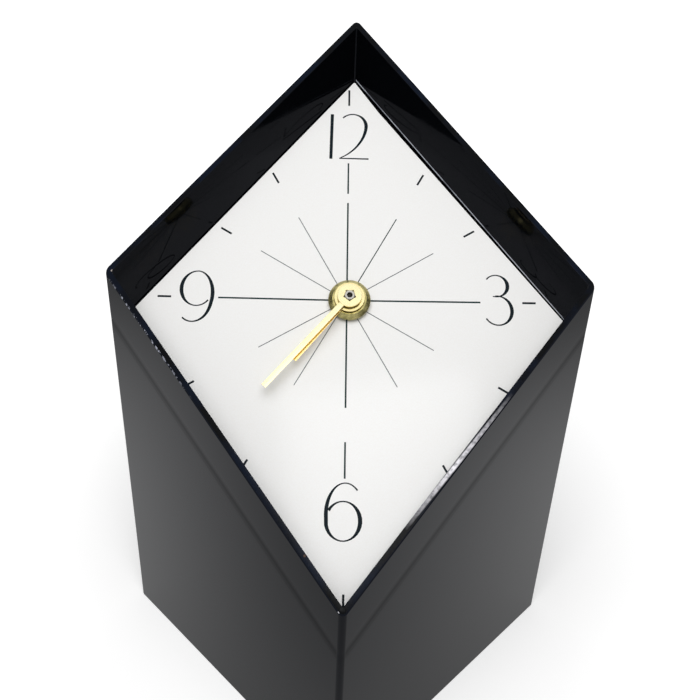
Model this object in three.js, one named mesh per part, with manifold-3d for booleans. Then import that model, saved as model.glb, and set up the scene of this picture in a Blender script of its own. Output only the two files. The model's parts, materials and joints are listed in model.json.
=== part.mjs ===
// Acrylic table clock: a black square tube cut off on a slope, a dial sunk below the sloping rim and a
// battery movement clamped behind the dial. Millimetres, +Z up, the low front corner towards -Y.

import * as THREE from 'three';
import { mergeVertices } from 'three/addons/utils/BufferGeometryUtils.js';
import Module from 'manifold-3d';

const wasm = await Module();
wasm.setup();

// Case: a square tube standing on its open end, seen corner on
const caseSide = 100;
const caseWall = 1.6;
const caseCornerRadius = 1.8;
const innerCornerRadius = 0.5;
const rimHeight = 130.5; // height of the rim's plane on the tube's axis
const wallSlope = 30; // degrees that the rim rises along each wall
const ledgeThickness = 2;
const ledgeWidth = 5;

// Dial
const dialDepth = 13.4; // from the rim's plane down to the card's face, square to both
const cardThickness = 0.4;
const plateThickness = 2;
const dialEdgeGap = 0.5; // between the dial's edge and the walls
const hubUpSlope = 9; // the hands' axis lies this far up the slope from the tube's axis
const cardTrim = 0.6; // cut off the card along its side from 12 to 3, besides the gap
const cardTrimStart = 12; // the cut is at its full depth this far from the 12 corner

// Clearances
const seatGap = 0.3; // between a piece and the seat that carries it
const windingGap = 0.15; // between the wire and the bobbin's tube
const runningGap = 0.15; // round a turning shaft
const pivotGap = 0.1; // round a pivot in its socket

// Fixing of the movement in the dial
const bushingRadius = 4;
const bushingWall = 1.35;
const bushingStandsProud = 3.2; // above the card
const shoulderRadius = 5.6;
const shoulderThickness = 0.7;
const rubberWasherRadius = 8;
const rubberWasherThickness = 1;
const brassWasherRadius = 6.1;
const brassWasherThickness = 0.4;
const nutRadius = 6.3;
const nutThickness = 1.9;
const nutTopRadius = 5.1;
const nutRimHeight = 0.8; // straight part below the nut's chamfer

// Hands, angles clockwise from 12
const handThickness = 0.3;
const handWidth = 1.65;
const minuteHandLength = 36.9;
const minuteHandAngle = 220.1;
const minuteHubRadius = 3.6;
const minuteHubThickness = 0.5;
const minuteCollarRadius = 2.4;
const minuteCollarHeight = 0.5;
const starNotches = 5;
const starDepth = 0.4; // how far the collet's notches reach past its bore
const hourHandLength = 25.2;
const hourHandAngle = 218.4;
const hourHubRadius = 4.55;
const hourHubThickness = 0.5;
const handsApart = 0.5; // between the hour hub's top and the minute hub's collar

// Pipes and arbors of the hands
const minuteArborRadius = 1.4;
const minuteArborBore = 0.85;
const minuteArborProud = 0.2; // above the minute hub
const hourPipeWall = 0.95;
const secondsArborRadius = 0.4;
const secondsArborTop = 1.5; // the seconds arbor ends out of sight inside the minute arbor
const clutchTubeWall = 0.6;

// Movement: a box as long as its cell, turned 45 degrees behind the dial to lie clear of the walls
const movementTurn = 45;
const movementThickness = 16.5;
const movementCornerRadius = 3;
const housingWall = 1.2;
const frontWall = 1.5;
const rearWall = 1.5;
const bayWall = 1;
const middlePlateThickness = 1.2;
const axisToBayWall = 10.6; // from the hands' axis to the wall between the works and the cell's bay
const postRadius = 1.6;
const postInset = 3.2; // from the room's walls to the posts' centres
const pivotDepth = 0.9;
const socketRadius = 1.4;
const socketHeight = 1.8;

// Supply
const batteryDiameter = 14.5;
const batteryLength = 50.5;
const batteryNubRadius = 2.75;
const batteryNubLength = 1.2;
const bayClearance = 0.35;
const contactThickness = 0.4;
const contactRoom = 0.85; // between a contact and the housing's wall
const contactReach = 4; // how far the raised end's contact runs past the bay's wall, beside the board
const strapHeight = 1.7;

// Gears: centre distances, teeth and face widths; each module follows from its pair
const motionDistance = 9.6;
const cannonTeeth = 12;
const minuteWheelTeeth = 36;
const minutePinionTeeth = 10;
const hourWheelTeeth = 40;
const settingTeeth = 12;
const trainDistance = 9.36;
const thirdPinionTeeth = 8;
const centreWheelTeeth = 64;
const secondsPinionTeeth = 8;
const thirdWheelTeeth = 60;
const intermediateDistance = 9.1;
const intermediatePinionTeeth = 10;
const secondsWheelTeeth = 60;
const rotorDistance = 9;
const rotorPinionTeeth = 12;
const intermediateWheelTeeth = 60;
const wheelThickness = 0.8;
const hourWheelThickness = 1;
const layerGap = 0.4; // between one layer of wheels and the next
const arborRadius = 0.5;
const toothSlack = 0.28; // share of the tooth left out, so that the teeth run free
const addendum = 0.9; // in modules
const dedendum = 1.3; // in modules
const tipShare = 0.45; // width of a tooth's tip as a share of its width at the pitch circle
const manyTeeth = 30; // a wheel with more teeth than this has straight flanks from root to tip

// Where the arbors stand round the hands' axis, in degrees from the movement's own X
const minuteWheelBearing = 185;
const settingBearing = 170; // seen from the minute wheel
const thirdWheelBearing = 15;
const intermediateBearing = 120;
const rotorBearing = 60; // seen from the intermediate wheel

// Setting knob
const settingShaftRadius = 1.1;
const knobRadius = 5;
const knobThickness = 3;
const knobFlutes = 14;
const knobFluteDepth = 0.45;

// Stepping motor
const magnetRadius = 2.2;
const magnetThickness = 1.2;
const magnetAirGap = 0.5;
const statorThickness = 0.8;
const statorBridge = 0.6; // steel left beside the rotor's hole
const statorHalfLength = 15.5;
const statorLegWidth = 4.5;
const statorPostRadius = 0.8;
const coreWidth = 3;
const coreThickness = 1;
const bobbinWall = 0.6;
const bobbinLegGap = 1.4; // between the bobbin and the stator's legs
const flangeThickness = 0.8;
const windingBuild = 0.9; // height of the wire above the bobbin's tube
const windingCorner = 0.6; // round edge of the winding and of the flanges
const bobbinCorner = 0.2;
const coreHoleCorner = 0.1;

// Circuit
const boardThickness = 1;
const boardStart = 17; // near edge, from the hands' axis
const boardStandoff = 0.9; // above the rear cover
const boardCorner = 0.5;
const boardStrapGap = 0.5; // between the board and the strap of the contact at the flat end
const boardPostInset = 6.4; // from the gear room's walls to the centres of the board's posts
const crystalRadius = 1;
const crystalLength = 6;
const chipRadius = 3;
const chipHeight = 1.2;

// Facets round the hub's pieces
const roundSegments = 32;

// Sizes that follow from the ones above
const rimTilt = Math.atan(Math.SQRT2 * Math.tan(radians(wallSlope)));
const innerSide = caseSide - 2 * caseWall;
const dialHeight = rimHeight - dialDepth / Math.cos(rimTilt); // card's face on the tube's axis
const beyond = 3 * caseSide; // a cutting body's size, past everything
const past = 1; // how far a cutter runs past the face that it opens
const plateTop = -cardThickness - seatGap;
const plateBottom = plateTop - plateThickness;
const ledgeTop = plateBottom - seatGap;
const rubberWasherBottom = ledgeTop - rubberWasherThickness;
const movementFront = rubberWasherBottom - seatGap;
const movementBack = movementFront - movementThickness;
const frontInside = movementFront - frontWall;
const rearInside = movementBack + rearWall;
const roomHalf = batteryLength / 2 + seatGap + contactThickness + contactRoom;
const gearRoomBottom = -axisToBayWall;
const bayTop = gearRoomBottom - bayWall;
const bayWallMiddle = (bayTop + gearRoomBottom) / 2;
const roomBottom = bayTop - batteryDiameter - 2 * bayClearance;
const roomCorner = movementCornerRadius - housingWall;
const nutBottom = seatGap + brassWasherThickness + seatGap;
const throughHole = bushingRadius + seatGap;

// Layers of the works, from the front wall to the back
const hourLayer = frontInside - seatGap;
const minuteLayer = hourLayer - hourWheelThickness - layerGap;
const centreLayer = minuteLayer - wheelThickness - layerGap;
const middlePlateTop = centreLayer - wheelThickness - layerGap;
const middlePlateBottom = middlePlateTop - middlePlateThickness;
const thirdLayer = middlePlateBottom - layerGap;
const secondsLayer = thirdLayer - wheelThickness - layerGap;
const intermediateLayer = secondsLayer - wheelThickness - layerGap;
const statorTop = intermediateLayer - wheelThickness - layerGap;
const statorBottom = statorTop - statorThickness;
const frontPivotEnd = frontInside + pivotDepth - seatGap; // of an arbor held in the front wall
const socketFloor = rearInside + seatGap; // end of an arbor held in a socket of the rear cover

// Levels of the hands
const hourHandBottom = bushingStandsProud + seatGap;
const hourHubTop = hourHandBottom + hourHubThickness;
const minuteHandBottom = hourHubTop + handsApart + minuteCollarHeight;
const minuteHubTop = minuteHandBottom + minuteHubThickness;
const hourPipeBore = minuteArborRadius + runningGap;
const hourPipeRadius = hourPipeBore + hourPipeWall;
const bushingBore = bushingRadius - bushingWall;
const clutchBore = secondsArborRadius + runningGap;
const clutchRadius = clutchBore + clutchTubeWall;

function radians(degrees) {
  return (degrees * Math.PI) / 180;
}

/** A closed geometry as a solid that can be cut and joined. */
function solid(geometry) {
  const bare = geometry.clone();
  bare.deleteAttribute('normal');
  bare.deleteAttribute('uv');
  const merged = mergeVertices(bare, 1e-4);
  return new wasm.Manifold(
    new wasm.Mesh({
      numProp: 3,
      vertProperties: new Float32Array(merged.attributes.position.array),
      triVerts: new Uint32Array(merged.index.array),
    }),
  );
}

/** The first solid with the others joined to it. */
function join(first, ...others) {
  return others.reduce((whole, piece) => whole.add(piece), first);
}

/** The first solid with the others cut out of it. */
function cut(first, ...others) {
  return others.reduce((whole, piece) => whole.subtract(piece), first);
}

/** A solid's surface as a geometry. */
function surface(body) {
  const mesh = body.getMesh();
  const geometry = new THREE.BufferGeometry();
  geometry.setAttribute('position', new THREE.BufferAttribute(new Float32Array(mesh.vertProperties), 3));
  geometry.setIndex(new THREE.BufferAttribute(new Uint32Array(mesh.triVerts), 1));
  geometry.computeVertexNormals();
  return geometry;
}

/** A flat shape drawn out from z = low to z = high. */
function raised(shape, low, high, curveSegments = 2) {
  const geometry = new THREE.ExtrudeGeometry(shape, {
    depth: high - low,
    bevelEnabled: false,
    curveSegments,
  });
  return solid(geometry.translate(0, 0, low));
}

/** A profile of (radius, z) points turned round an axis parallel to Z through (x, y). */
function turned(profile, segments = 28, x = 0, y = 0) {
  const points = profile.map(([radius, z]) => new THREE.Vector2(radius, z));
  return solid(new THREE.LatheGeometry(points, segments).rotateX(Math.PI / 2).translate(x, y, 0));
}

/** A plain round bar from z = low to z = high. */
function bar(radius, low, high, segments = 20, x = 0, y = 0) {
  return turned([[0, low], [radius, low], [radius, high], [0, high]], segments, x, y);
}

/** A block between two corners. */
function block([x0, y0, z0], [x1, y1, z1]) {
  const geometry = new THREE.BoxGeometry(x1 - x0, y1 - y0, z1 - z0);
  return solid(geometry.translate((x0 + x1) / 2, (y0 + y1) / 2, (z0 + z1) / 2));
}

/** A rectangle with round corners between two corners. */
function roundedRectangle(x0, y0, x1, y1, radius) {
  const shape = new THREE.Shape();
  shape.absarc(x1 - radius, y0 + radius, radius, -Math.PI / 2, 0);
  shape.absarc(x1 - radius, y1 - radius, radius, 0, Math.PI / 2);
  shape.absarc(x0 + radius, y1 - radius, radius, Math.PI / 2, Math.PI);
  shape.absarc(x0 + radius, y0 + radius, radius, Math.PI, Math.PI * 1.5);
  shape.closePath();
  return shape;
}

/** An upright square prism with its corners on the X and Y axes. */
function cornerOnPrism(side, cornerRadius, low, high) {
  const shape = roundedRectangle(-side / 2, -side / 2, side / 2, side / 2, cornerRadius);
  return raised(shape, low, high, 3).rotate([0, 0, 45]);
}

/** Moves a solid from the dial's own axes into the case's. */
function ontoSlope(body, upSlope) {
  const degrees = (rimTilt * 180) / Math.PI;
  const y = upSlope * Math.cos(rimTilt);
  const z = dialHeight + upSlope * Math.sin(rimTilt);
  return body.rotate([degrees, 0, 0]).translate([0, y, z]);
}

/** A wide slab parallel to the dial, its faces measured from the card's face. */
function slab(bottom, top) {
  return ontoSlope(block([-beyond, -beyond, bottom], [beyond, beyond, top]), 0);
}

/** Where an arbor stands, a distance and a bearing from another one. */
function arborAt([x, y], distance, bearing) {
  return [x + distance * Math.cos(radians(bearing)), y + distance * Math.sin(radians(bearing))];
}

/** Turn of a gear that puts its gap where the tooth of its partner points. */
function meshPhase(partnerPhase, partnerTeeth, teeth, bearing) {
  const direction = radians(bearing);
  return direction + Math.PI - ((partnerPhase - direction) * partnerTeeth) / teeth - Math.PI / teeth;
}

/** Module of a pair of gears from their distance. */
function pairModule(distance, teethA, teethB) {
  return (2 * distance) / (teethA + teethB);
}

/** A gear. A pinion's flanks are radial below the pitch circle and lean in above it. */
function gear({ teeth, module, phase, low, high, x = 0, y = 0 }) {
  const pitch = (teeth * module) / 2;
  const half = (Math.PI / 2 / teeth) * (1 - toothSlack);
  const root = pitch - dedendum * module;
  const tip = pitch + addendum * module;
  const rising = [[root, -half], [pitch, -half], [tip, -half * tipShare]];
  const flank = teeth > manyTeeth ? [rising[0], rising[2]] : rising;
  const tooth = [...flank, ...flank.map(([radius, lean]) => [radius, -lean]).reverse()];
  const outline = [];
  for (let count = 0; count < teeth; count += 1) {
    const middle = phase + (2 * Math.PI * count) / teeth;
    for (const [radius, lean] of tooth) {
      const angle = middle + lean;
      outline.push(new THREE.Vector2(x + radius * Math.cos(angle), y + radius * Math.sin(angle)));
    }
  }
  return raised(new THREE.Shape(outline), low, high);
}

// Arbors of the works and the modules of their gears
const hub = [0, 0];
const minuteWheelPlace = arborAt(hub, motionDistance, minuteWheelBearing);
const settingPlace = arborAt(minuteWheelPlace, motionDistance, settingBearing);
const thirdPlace = arborAt(hub, trainDistance, thirdWheelBearing);
const intermediatePlace = arborAt(hub, intermediateDistance, intermediateBearing);
const rotorPlace = arborAt(intermediatePlace, rotorDistance, rotorBearing);
const cannonModule = pairModule(motionDistance, cannonTeeth, minuteWheelTeeth);
const hourModule = pairModule(motionDistance, minutePinionTeeth, hourWheelTeeth);
const centreModule = pairModule(trainDistance, thirdPinionTeeth, centreWheelTeeth);
const thirdModule = pairModule(trainDistance, secondsPinionTeeth, thirdWheelTeeth);
const secondsModule = pairModule(intermediateDistance, intermediatePinionTeeth, secondsWheelTeeth);
const rotorModule = pairModule(rotorDistance, rotorPinionTeeth, intermediateWheelTeeth);
const thirdPinionTip = ((thirdPinionTeeth / 2) + addendum) * centreModule;

// Coil, beside the rotor
const tubeInsideY = coreWidth / 2 + seatGap;
const tubeInsideZ = coreThickness / 2 + seatGap;
const tubeOutsideY = tubeInsideY + bobbinWall;
const tubeOutsideZ = tubeInsideZ + bobbinWall;
const flangeProud = windingBuild + seatGap; // beyond the bobbin's tube
const statorHole = magnetRadius + magnetAirGap;
const statorHalfWidth = statorHole + statorBridge;
const coilY = rotorPlace[1] + statorHalfWidth + seatGap + flangeProud + tubeOutsideY;
const statorPostY = coilY + coreWidth / 2 + seatGap + statorPostRadius;
const roomTop = coilY + tubeOutsideY + flangeProud + seatGap;
const coreTop = statorBottom - seatGap;
const coilAxisZ = coreTop - coreThickness / 2;
const bobbinHalfLength = statorHalfLength - statorLegWidth - bobbinLegGap;

// Circuit board and cell
const boardBottom = rearInside + boardStandoff;
const boardTop = boardBottom + boardThickness;
const boardEnd = batteryLength / 2;
const boardMiddle = (boardStart + boardEnd) / 2;
const strapY = gearRoomBottom + seatGap;
const batteryY = roomBottom + bayClearance + batteryDiameter / 2;
const batteryZ = frontInside - seatGap - batteryDiameter / 2;
const contactX = batteryLength / 2 + seatGap;
const contactTop = middlePlateBottom - seatGap;

/** Square tube, cut on the slope, with the ledge that carries the dial. */
function makeCaseShell() {
  const tall = rimHeight + caseSide;
  const tube = cut(
    cornerOnPrism(caseSide, caseCornerRadius, 0, tall),
    cornerOnPrism(innerSide, innerCornerRadius, -caseWall, tall + caseWall),
    slab(dialDepth, dialDepth + beyond),
  );
  const ring = cut(
    cornerOnPrism(caseSide - caseWall, innerCornerRadius, 0, tall),
    cornerOnPrism(innerSide - 2 * ledgeWidth, innerCornerRadius, -caseWall, tall + caseWall),
  );
  return join(tube, ring.intersect(slab(ledgeTop - ledgeThickness, ledgeTop)));
}

/** What is cut off the card's side from 12 to 3, as a thin prism along the wall. */
function makeCardTrim() {
  const half = innerSide / 2;
  const edge = half - dialEdgeGap;
  const shape = new THREE.Shape();
  shape.moveTo(edge, half);
  shape.lineTo(edge - cardTrim, edge - cardTrimStart);
  shape.lineTo(edge, -edge);
  shape.lineTo(half, -edge);
  shape.lineTo(half, half);
  shape.closePath();
  return raised(shape, 0, rimHeight + caseSide).rotate([0, 0, 45]);
}

/** A sheet that fills the tube's section on the slope, with the hole for the bushing. */
function makeDialSheet(bottom, top) {
  const sheet = cornerOnPrism(innerSide - 2 * dialEdgeGap, innerCornerRadius, 0, rimHeight + caseSide);
  const hole = ontoSlope(bar(throughHole, bottom - past, top + past, roundSegments), hubUpSlope);
  return cut(sheet.intersect(slab(bottom, top)), hole);
}

/** Brass neck of the movement, with the shoulder that seats in the front wall. */
function makeThreadedBushing() {
  const neck = bar(bushingRadius, frontInside, bushingStandsProud, roundSegments);
  const shoulder = bar(shoulderRadius, movementFront - shoulderThickness, movementFront, roundSegments);
  const bore = bar(bushingBore, frontInside - past, bushingStandsProud + past, roundSegments);
  return cut(join(neck, shoulder), bore);
}

/** A flat ring round the bushing. */
function makeWasher(radius, bottom, top) {
  return turned([
    [throughHole, bottom],
    [radius, bottom],
    [radius, top],
    [throughHole, top],
    [throughHole, bottom],
  ]);
}

/** Round nut with a broad chamfer. */
function makeMountingNut() {
  const top = nutBottom + nutThickness;
  return turned([
    [throughHole, nutBottom],
    [nutRadius, nutBottom],
    [nutRadius, nutBottom + nutRimHeight],
    [nutTopRadius, top],
    [throughHole, top],
    [throughHole, nutBottom],
  ]);
}

/** A plain bar hand that points to an angle clockwise from 12. */
function makeBlade(length, angle, bottom) {
  const blade = block([-handWidth / 2, 0, bottom], [handWidth / 2, length, bottom + handThickness]);
  return blade.rotate([0, 0, -angle]);
}

/** Hour hand with its round hub. */
function makeHourHand() {
  const hubDisc = bar(hourHubRadius, hourHandBottom, hourHubTop, roundSegments);
  const blade = makeBlade(hourHandLength, hourHandAngle, hourHandBottom);
  const bore = bar(hourPipeRadius + pivotGap, hourHandBottom - past, hourHubTop + past, roundSegments);
  return cut(join(blade, hubDisc), bore);
}

/** Minute hand, its hub a collet with notches round the arbor. */
function makeMinuteHand() {
  const bore = minuteArborRadius + pivotGap;
  const disc = bar(minuteHubRadius, minuteHandBottom, minuteHubTop, roundSegments);
  const collar = bar(minuteCollarRadius, minuteHandBottom - minuteCollarHeight, minuteHubTop, roundSegments);
  const blade = makeBlade(minuteHandLength, minuteHandAngle, minuteHandBottom);
  const low = minuteHandBottom - minuteCollarHeight - past;
  let hand = cut(join(blade, disc, collar), bar(bore, low, minuteHubTop + past, roundSegments));
  for (let notch = 0; notch < starNotches; notch += 1) {
    const slot = block([-starDepth, 0, low], [starDepth, bore + starDepth, minuteHubTop + past]);
    hand = cut(hand, slot.rotate([0, 0, 180 + (notch * 360) / starNotches]));
  }
  return hand;
}

/** Outline of the movement's box. */
function movementOutline() {
  const half = roomHalf + housingWall;
  return roundedRectangle(-half, roomBottom - housingWall, half, roomTop + housingWall, movementCornerRadius);
}

/** Moulded front shell with the gear room and the battery bay. */
function makeFrontHousing() {
  const gearRoom = roundedRectangle(-roomHalf, gearRoomBottom, roomHalf, roomTop, roomCorner);
  const bay = roundedRectangle(-roomHalf, roomBottom, roomHalf, bayTop, roomCorner);
  const shoulderSeat = movementFront - shoulderThickness - seatGap;
  let shell = cut(
    raised(movementOutline(), movementBack, movementFront),
    raised(gearRoom, movementBack - past, frontInside),
    raised(bay, movementBack - past, frontInside),
    block([-beyond, bayWallMiddle, movementBack - past], [beyond, beyond, rearInside + seatGap]),
    bar(throughHole, frontInside - past, movementFront + past, roundSegments),
    bar(shoulderRadius + seatGap, shoulderSeat, movementFront + past, roundSegments),
  );
  for (const [x, y] of [minuteWheelPlace, thirdPlace, settingPlace]) {
    shell = cut(shell, bar(arborRadius + pivotGap, frontInside - past, frontInside + pivotDepth, 12, x, y));
  }
  const slotNear = batteryLength / 2;
  for (const side of [-1, 1]) {
    const ends = [side * slotNear, side * roomHalf].sort((a, b) => a - b);
    shell = cut(
      shell,
      block(
        [ends[0], bayTop - past, movementBack - past],
        [ends[1], gearRoomBottom + past, middlePlateBottom],
      ),
    );
  }
  const posts = [[-1, 1], [1, 1], [1, -1], [-1, -1]].map(([sideX, sideY]) => {
    const x = sideX * (roomHalf - postInset);
    const y = sideY > 0 ? roomTop - postInset : gearRoomBottom + postInset;
    return bar(postRadius, middlePlateTop + seatGap, frontInside + frontWall / 2, 12, x, y);
  });
  return join(shell, ...posts);
}

/** Plate between the motion work and the going train, bored for the arbors. */
function makeMiddlePlate() {
  const edge = roomHalf - seatGap;
  const outline = roundedRectangle(-edge, gearRoomBottom + seatGap, edge, roomTop - seatGap, roomCorner);
  const holes = [
    [hub, clutchRadius + runningGap],
    [thirdPlace, thirdPinionTip + seatGap],
    [minuteWheelPlace, arborRadius + pivotGap],
    [intermediatePlace, secondsArborRadius + pivotGap],
    [rotorPlace, secondsArborRadius + pivotGap],
    [settingPlace, settingShaftRadius + runningGap],
  ];
  const [low, high] = [middlePlateBottom - past, middlePlateTop + past];
  return cut(
    raised(outline, middlePlateBottom, middlePlateTop),
    ...holes.map(([[x, y], radius]) => bar(radius, low, high, 14, x, y)),
  );
}

/** Rear cover over the gear room, with the sockets of the arbors and posts for the motor and the board. */
function makeRearCover() {
  const outline = raised(movementOutline(), movementBack, rearInside);
  const bayOpening = block(
    [-beyond, -beyond, movementBack - past],
    [beyond, bayWallMiddle + seatGap, rearInside + past],
  );
  const root = rearInside - rearWall / 2;
  const socketTop = rearInside + socketHeight;
  const sockets = [hub, thirdPlace, intermediatePlace, rotorPlace].map(([x, y]) =>
    bar(socketRadius, root, socketTop, 14, x, y),
  );
  const legX = statorHalfLength - statorLegWidth / 2;
  const statorPosts = [-legX, legX].map((x) =>
    bar(statorPostRadius, root, statorBottom - seatGap, 12, x, statorPostY),
  );
  const boardPosts = [gearRoomBottom + boardPostInset, roomTop - boardPostInset].map((y) =>
    bar(postRadius, root, boardBottom - seatGap, 16, boardMiddle, y),
  );
  let cover = join(cut(outline, bayOpening), ...sockets, ...statorPosts, ...boardPosts);
  for (const [[x, y], radius] of [
    [hub, secondsArborRadius],
    [thirdPlace, arborRadius],
    [intermediatePlace, secondsArborRadius],
    [rotorPlace, secondsArborRadius],
  ]) {
    cover = cut(cover, bar(radius + pivotGap, rearInside + seatGap / 2, socketTop + past, 12, x, y));
  }
  const [knobX, knobY] = settingPlace;
  const knobHole = settingShaftRadius + runningGap;
  return cut(cover, bar(knobHole, movementBack - past, rearInside + past, 20, knobX, knobY));
}

/** Hour wheel with the pipe that carries the hour hand. */
function makeHourWheel() {
  const minutePinionPhase = 0;
  const wheel = gear({
    teeth: hourWheelTeeth,
    module: hourModule,
    phase: meshPhase(minutePinionPhase, minutePinionTeeth, hourWheelTeeth, minuteWheelBearing + 180),
    low: hourLayer - hourWheelThickness,
    high: hourLayer,
  });
  const pipe = bar(hourPipeRadius, hourLayer - hourWheelThickness / 2, hourHubTop + pivotGap, roundSegments);
  const low = hourLayer - hourWheelThickness - past;
  return cut(join(wheel, pipe), bar(hourPipeBore, low, hourHubTop + past, roundSegments));
}

/** Minute arbor: the cannon pinion and the hollow arbor that carries the minute hand. */
function makeCannonPinion() {
  const low = minuteLayer - wheelThickness;
  const pinion = gear({ teeth: cannonTeeth, module: cannonModule, phase: 0, low, high: minuteLayer });
  const top = minuteHubTop + minuteArborProud;
  const arbor = bar(minuteArborRadius, minuteLayer - wheelThickness / 2, top, roundSegments);
  return cut(
    join(pinion, arbor),
    bar(minuteArborBore, low - past, top + past, 24),
    bar(clutchRadius + runningGap, low - past, minuteLayer, 24),
  );
}

/** Minute wheel of the motion work, with the pinion that drives the hour wheel. */
function makeMinuteWheel() {
  const [x, y] = minuteWheelPlace;
  const wheel = gear({
    teeth: minuteWheelTeeth,
    module: cannonModule,
    phase: meshPhase(0, cannonTeeth, minuteWheelTeeth, minuteWheelBearing),
    low: minuteLayer - wheelThickness,
    high: minuteLayer,
    x,
    y,
  });
  const pinion = gear({
    teeth: minutePinionTeeth,
    module: hourModule,
    phase: 0,
    low: minuteLayer - wheelThickness / 2,
    high: hourLayer,
    x,
    y,
  });
  return join(wheel, pinion, bar(arborRadius, middlePlateBottom, frontPivotEnd, 12, x, y));
}

/** Knob that sets the hands, with its shaft and the pinion that turns the minute wheel. */
function makeSettingKnob() {
  const [x, y] = settingPlace;
  const minuteWheelPhase = meshPhase(0, cannonTeeth, minuteWheelTeeth, minuteWheelBearing);
  const pinion = gear({
    teeth: settingTeeth,
    module: cannonModule,
    phase: meshPhase(minuteWheelPhase, minuteWheelTeeth, settingTeeth, settingBearing),
    low: minuteLayer - wheelThickness,
    high: minuteLayer,
    x,
    y,
  });
  const knobTop = movementBack - seatGap;
  const outline = new THREE.Shape();
  const steps = knobFlutes * 4;
  for (let step = 0; step < steps; step += 1) {
    const angle = (2 * Math.PI * step) / steps;
    const radius = knobRadius - (knobFluteDepth / 2) * (1 - Math.cos(angle * knobFlutes));
    const point = [x + radius * Math.cos(angle), y + radius * Math.sin(angle)];
    if (step === 0) outline.moveTo(...point);
    else outline.lineTo(...point);
  }
  outline.closePath();
  return join(
    pinion,
    bar(arborRadius, minuteLayer - wheelThickness / 2, frontPivotEnd, 12, x, y),
    bar(settingShaftRadius, knobTop - knobThickness / 2, minuteLayer - wheelThickness / 2, 14, x, y),
    raised(outline, knobTop - knobThickness, knobTop),
  );
}

/** Centre wheel, once an hour, with the tube of the friction clutch inside the cannon pinion. */
function makeCentreWheel() {
  const low = centreLayer - wheelThickness;
  const wheel = gear({
    teeth: centreWheelTeeth,
    module: centreModule,
    phase: meshPhase(0, thirdPinionTeeth, centreWheelTeeth, thirdWheelBearing + 180),
    low,
    high: centreLayer,
  });
  const tube = bar(clutchRadius, middlePlateTop - middlePlateThickness / 2, minuteLayer - seatGap, 24);
  return cut(join(wheel, tube), bar(clutchBore, middlePlateBottom, minuteLayer, 20));
}

/** Third wheel and its pinion. */
function makeThirdWheel() {
  const [x, y] = thirdPlace;
  const wheel = gear({
    teeth: thirdWheelTeeth,
    module: thirdModule,
    phase: meshPhase(0, secondsPinionTeeth, thirdWheelTeeth, thirdWheelBearing),
    low: thirdLayer - wheelThickness,
    high: thirdLayer,
    x,
    y,
  });
  const low = centreLayer - wheelThickness;
  const pinion = gear({ teeth: thirdPinionTeeth, module: centreModule, phase: 0, low, high: centreLayer, x, y });
  return join(wheel, pinion, bar(arborRadius, socketFloor, frontPivotEnd, 12, x, y));
}

/** Seconds wheel, its pinion and the long arbor that runs up inside the minute arbor. */
function makeSecondsWheel() {
  const wheel = gear({
    teeth: secondsWheelTeeth,
    module: secondsModule,
    phase: 0,
    low: secondsLayer - wheelThickness,
    high: secondsLayer,
  });
  const low = secondsLayer - wheelThickness / 2;
  const pinion = gear({ teeth: secondsPinionTeeth, module: thirdModule, phase: 0, low, high: thirdLayer });
  return join(wheel, pinion, bar(secondsArborRadius, socketFloor, secondsArborTop, 16));
}

/** Intermediate wheel between the rotor and the seconds wheel. */
function makeIntermediateWheel() {
  const [x, y] = intermediatePlace;
  const wheel = gear({
    teeth: intermediateWheelTeeth,
    module: rotorModule,
    phase: 0,
    low: intermediateLayer - wheelThickness,
    high: intermediateLayer,
    x,
    y,
  });
  const pinion = gear({
    teeth: intermediatePinionTeeth,
    module: secondsModule,
    phase: meshPhase(0, secondsWheelTeeth, intermediatePinionTeeth, intermediateBearing),
    low: intermediateLayer - wheelThickness / 2,
    high: secondsLayer,
    x,
    y,
  });
  return join(wheel, pinion, bar(secondsArborRadius, socketFloor, middlePlateTop - layerGap, 12, x, y));
}

/** Rotor of the stepping motor: a round magnet with its pinion. */
function makeRotor() {
  const [x, y] = rotorPlace;
  const pinion = gear({
    teeth: rotorPinionTeeth,
    module: rotorModule,
    phase: meshPhase(0, intermediateWheelTeeth, rotorPinionTeeth, rotorBearing),
    low: statorTop,
    high: intermediateLayer,
    x,
    y,
  });
  const magnetMiddle = (statorTop + statorBottom) / 2;
  const magnetTop = magnetMiddle + magnetThickness / 2;
  return join(
    pinion,
    bar(magnetRadius, magnetTop - magnetThickness, magnetTop, 24, x, y),
    bar(secondsArborRadius, socketFloor, middlePlateTop - layerGap, 12, x, y),
  );
}

/** Stator: a thin steel plate round the rotor, with two legs under the ends of the coil's core. */
function makeStator() {
  const [x, y] = rotorPlace;
  const legEnd = statorPostY + statorPostRadius;
  const body = block(
    [-statorHalfLength, y - statorHalfWidth, statorBottom],
    [statorHalfLength, y + statorHalfWidth, statorTop],
  );
  const legs = [-1, 1].map((side) => {
    const ends = [side * (statorHalfLength - statorLegWidth), side * statorHalfLength].sort((a, b) => a - b);
    return block([ends[0], y, statorBottom], [ends[1], legEnd, statorTop]);
  });
  return cut(join(body, ...legs), bar(statorHole, statorBottom - past, statorTop + past, 24, x, y));
}

/** A rectangular section centred on the coil's axis and drawn out along X. */
function alongCoil(halfY, halfZ, radius, from, to) {
  return raised(roundedRectangle(-halfY, -halfZ, halfY, halfZ, radius), from, to)
    .rotate([90, 0, 90])
    .translate([0, coilY, coilAxisZ]);
}

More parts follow.
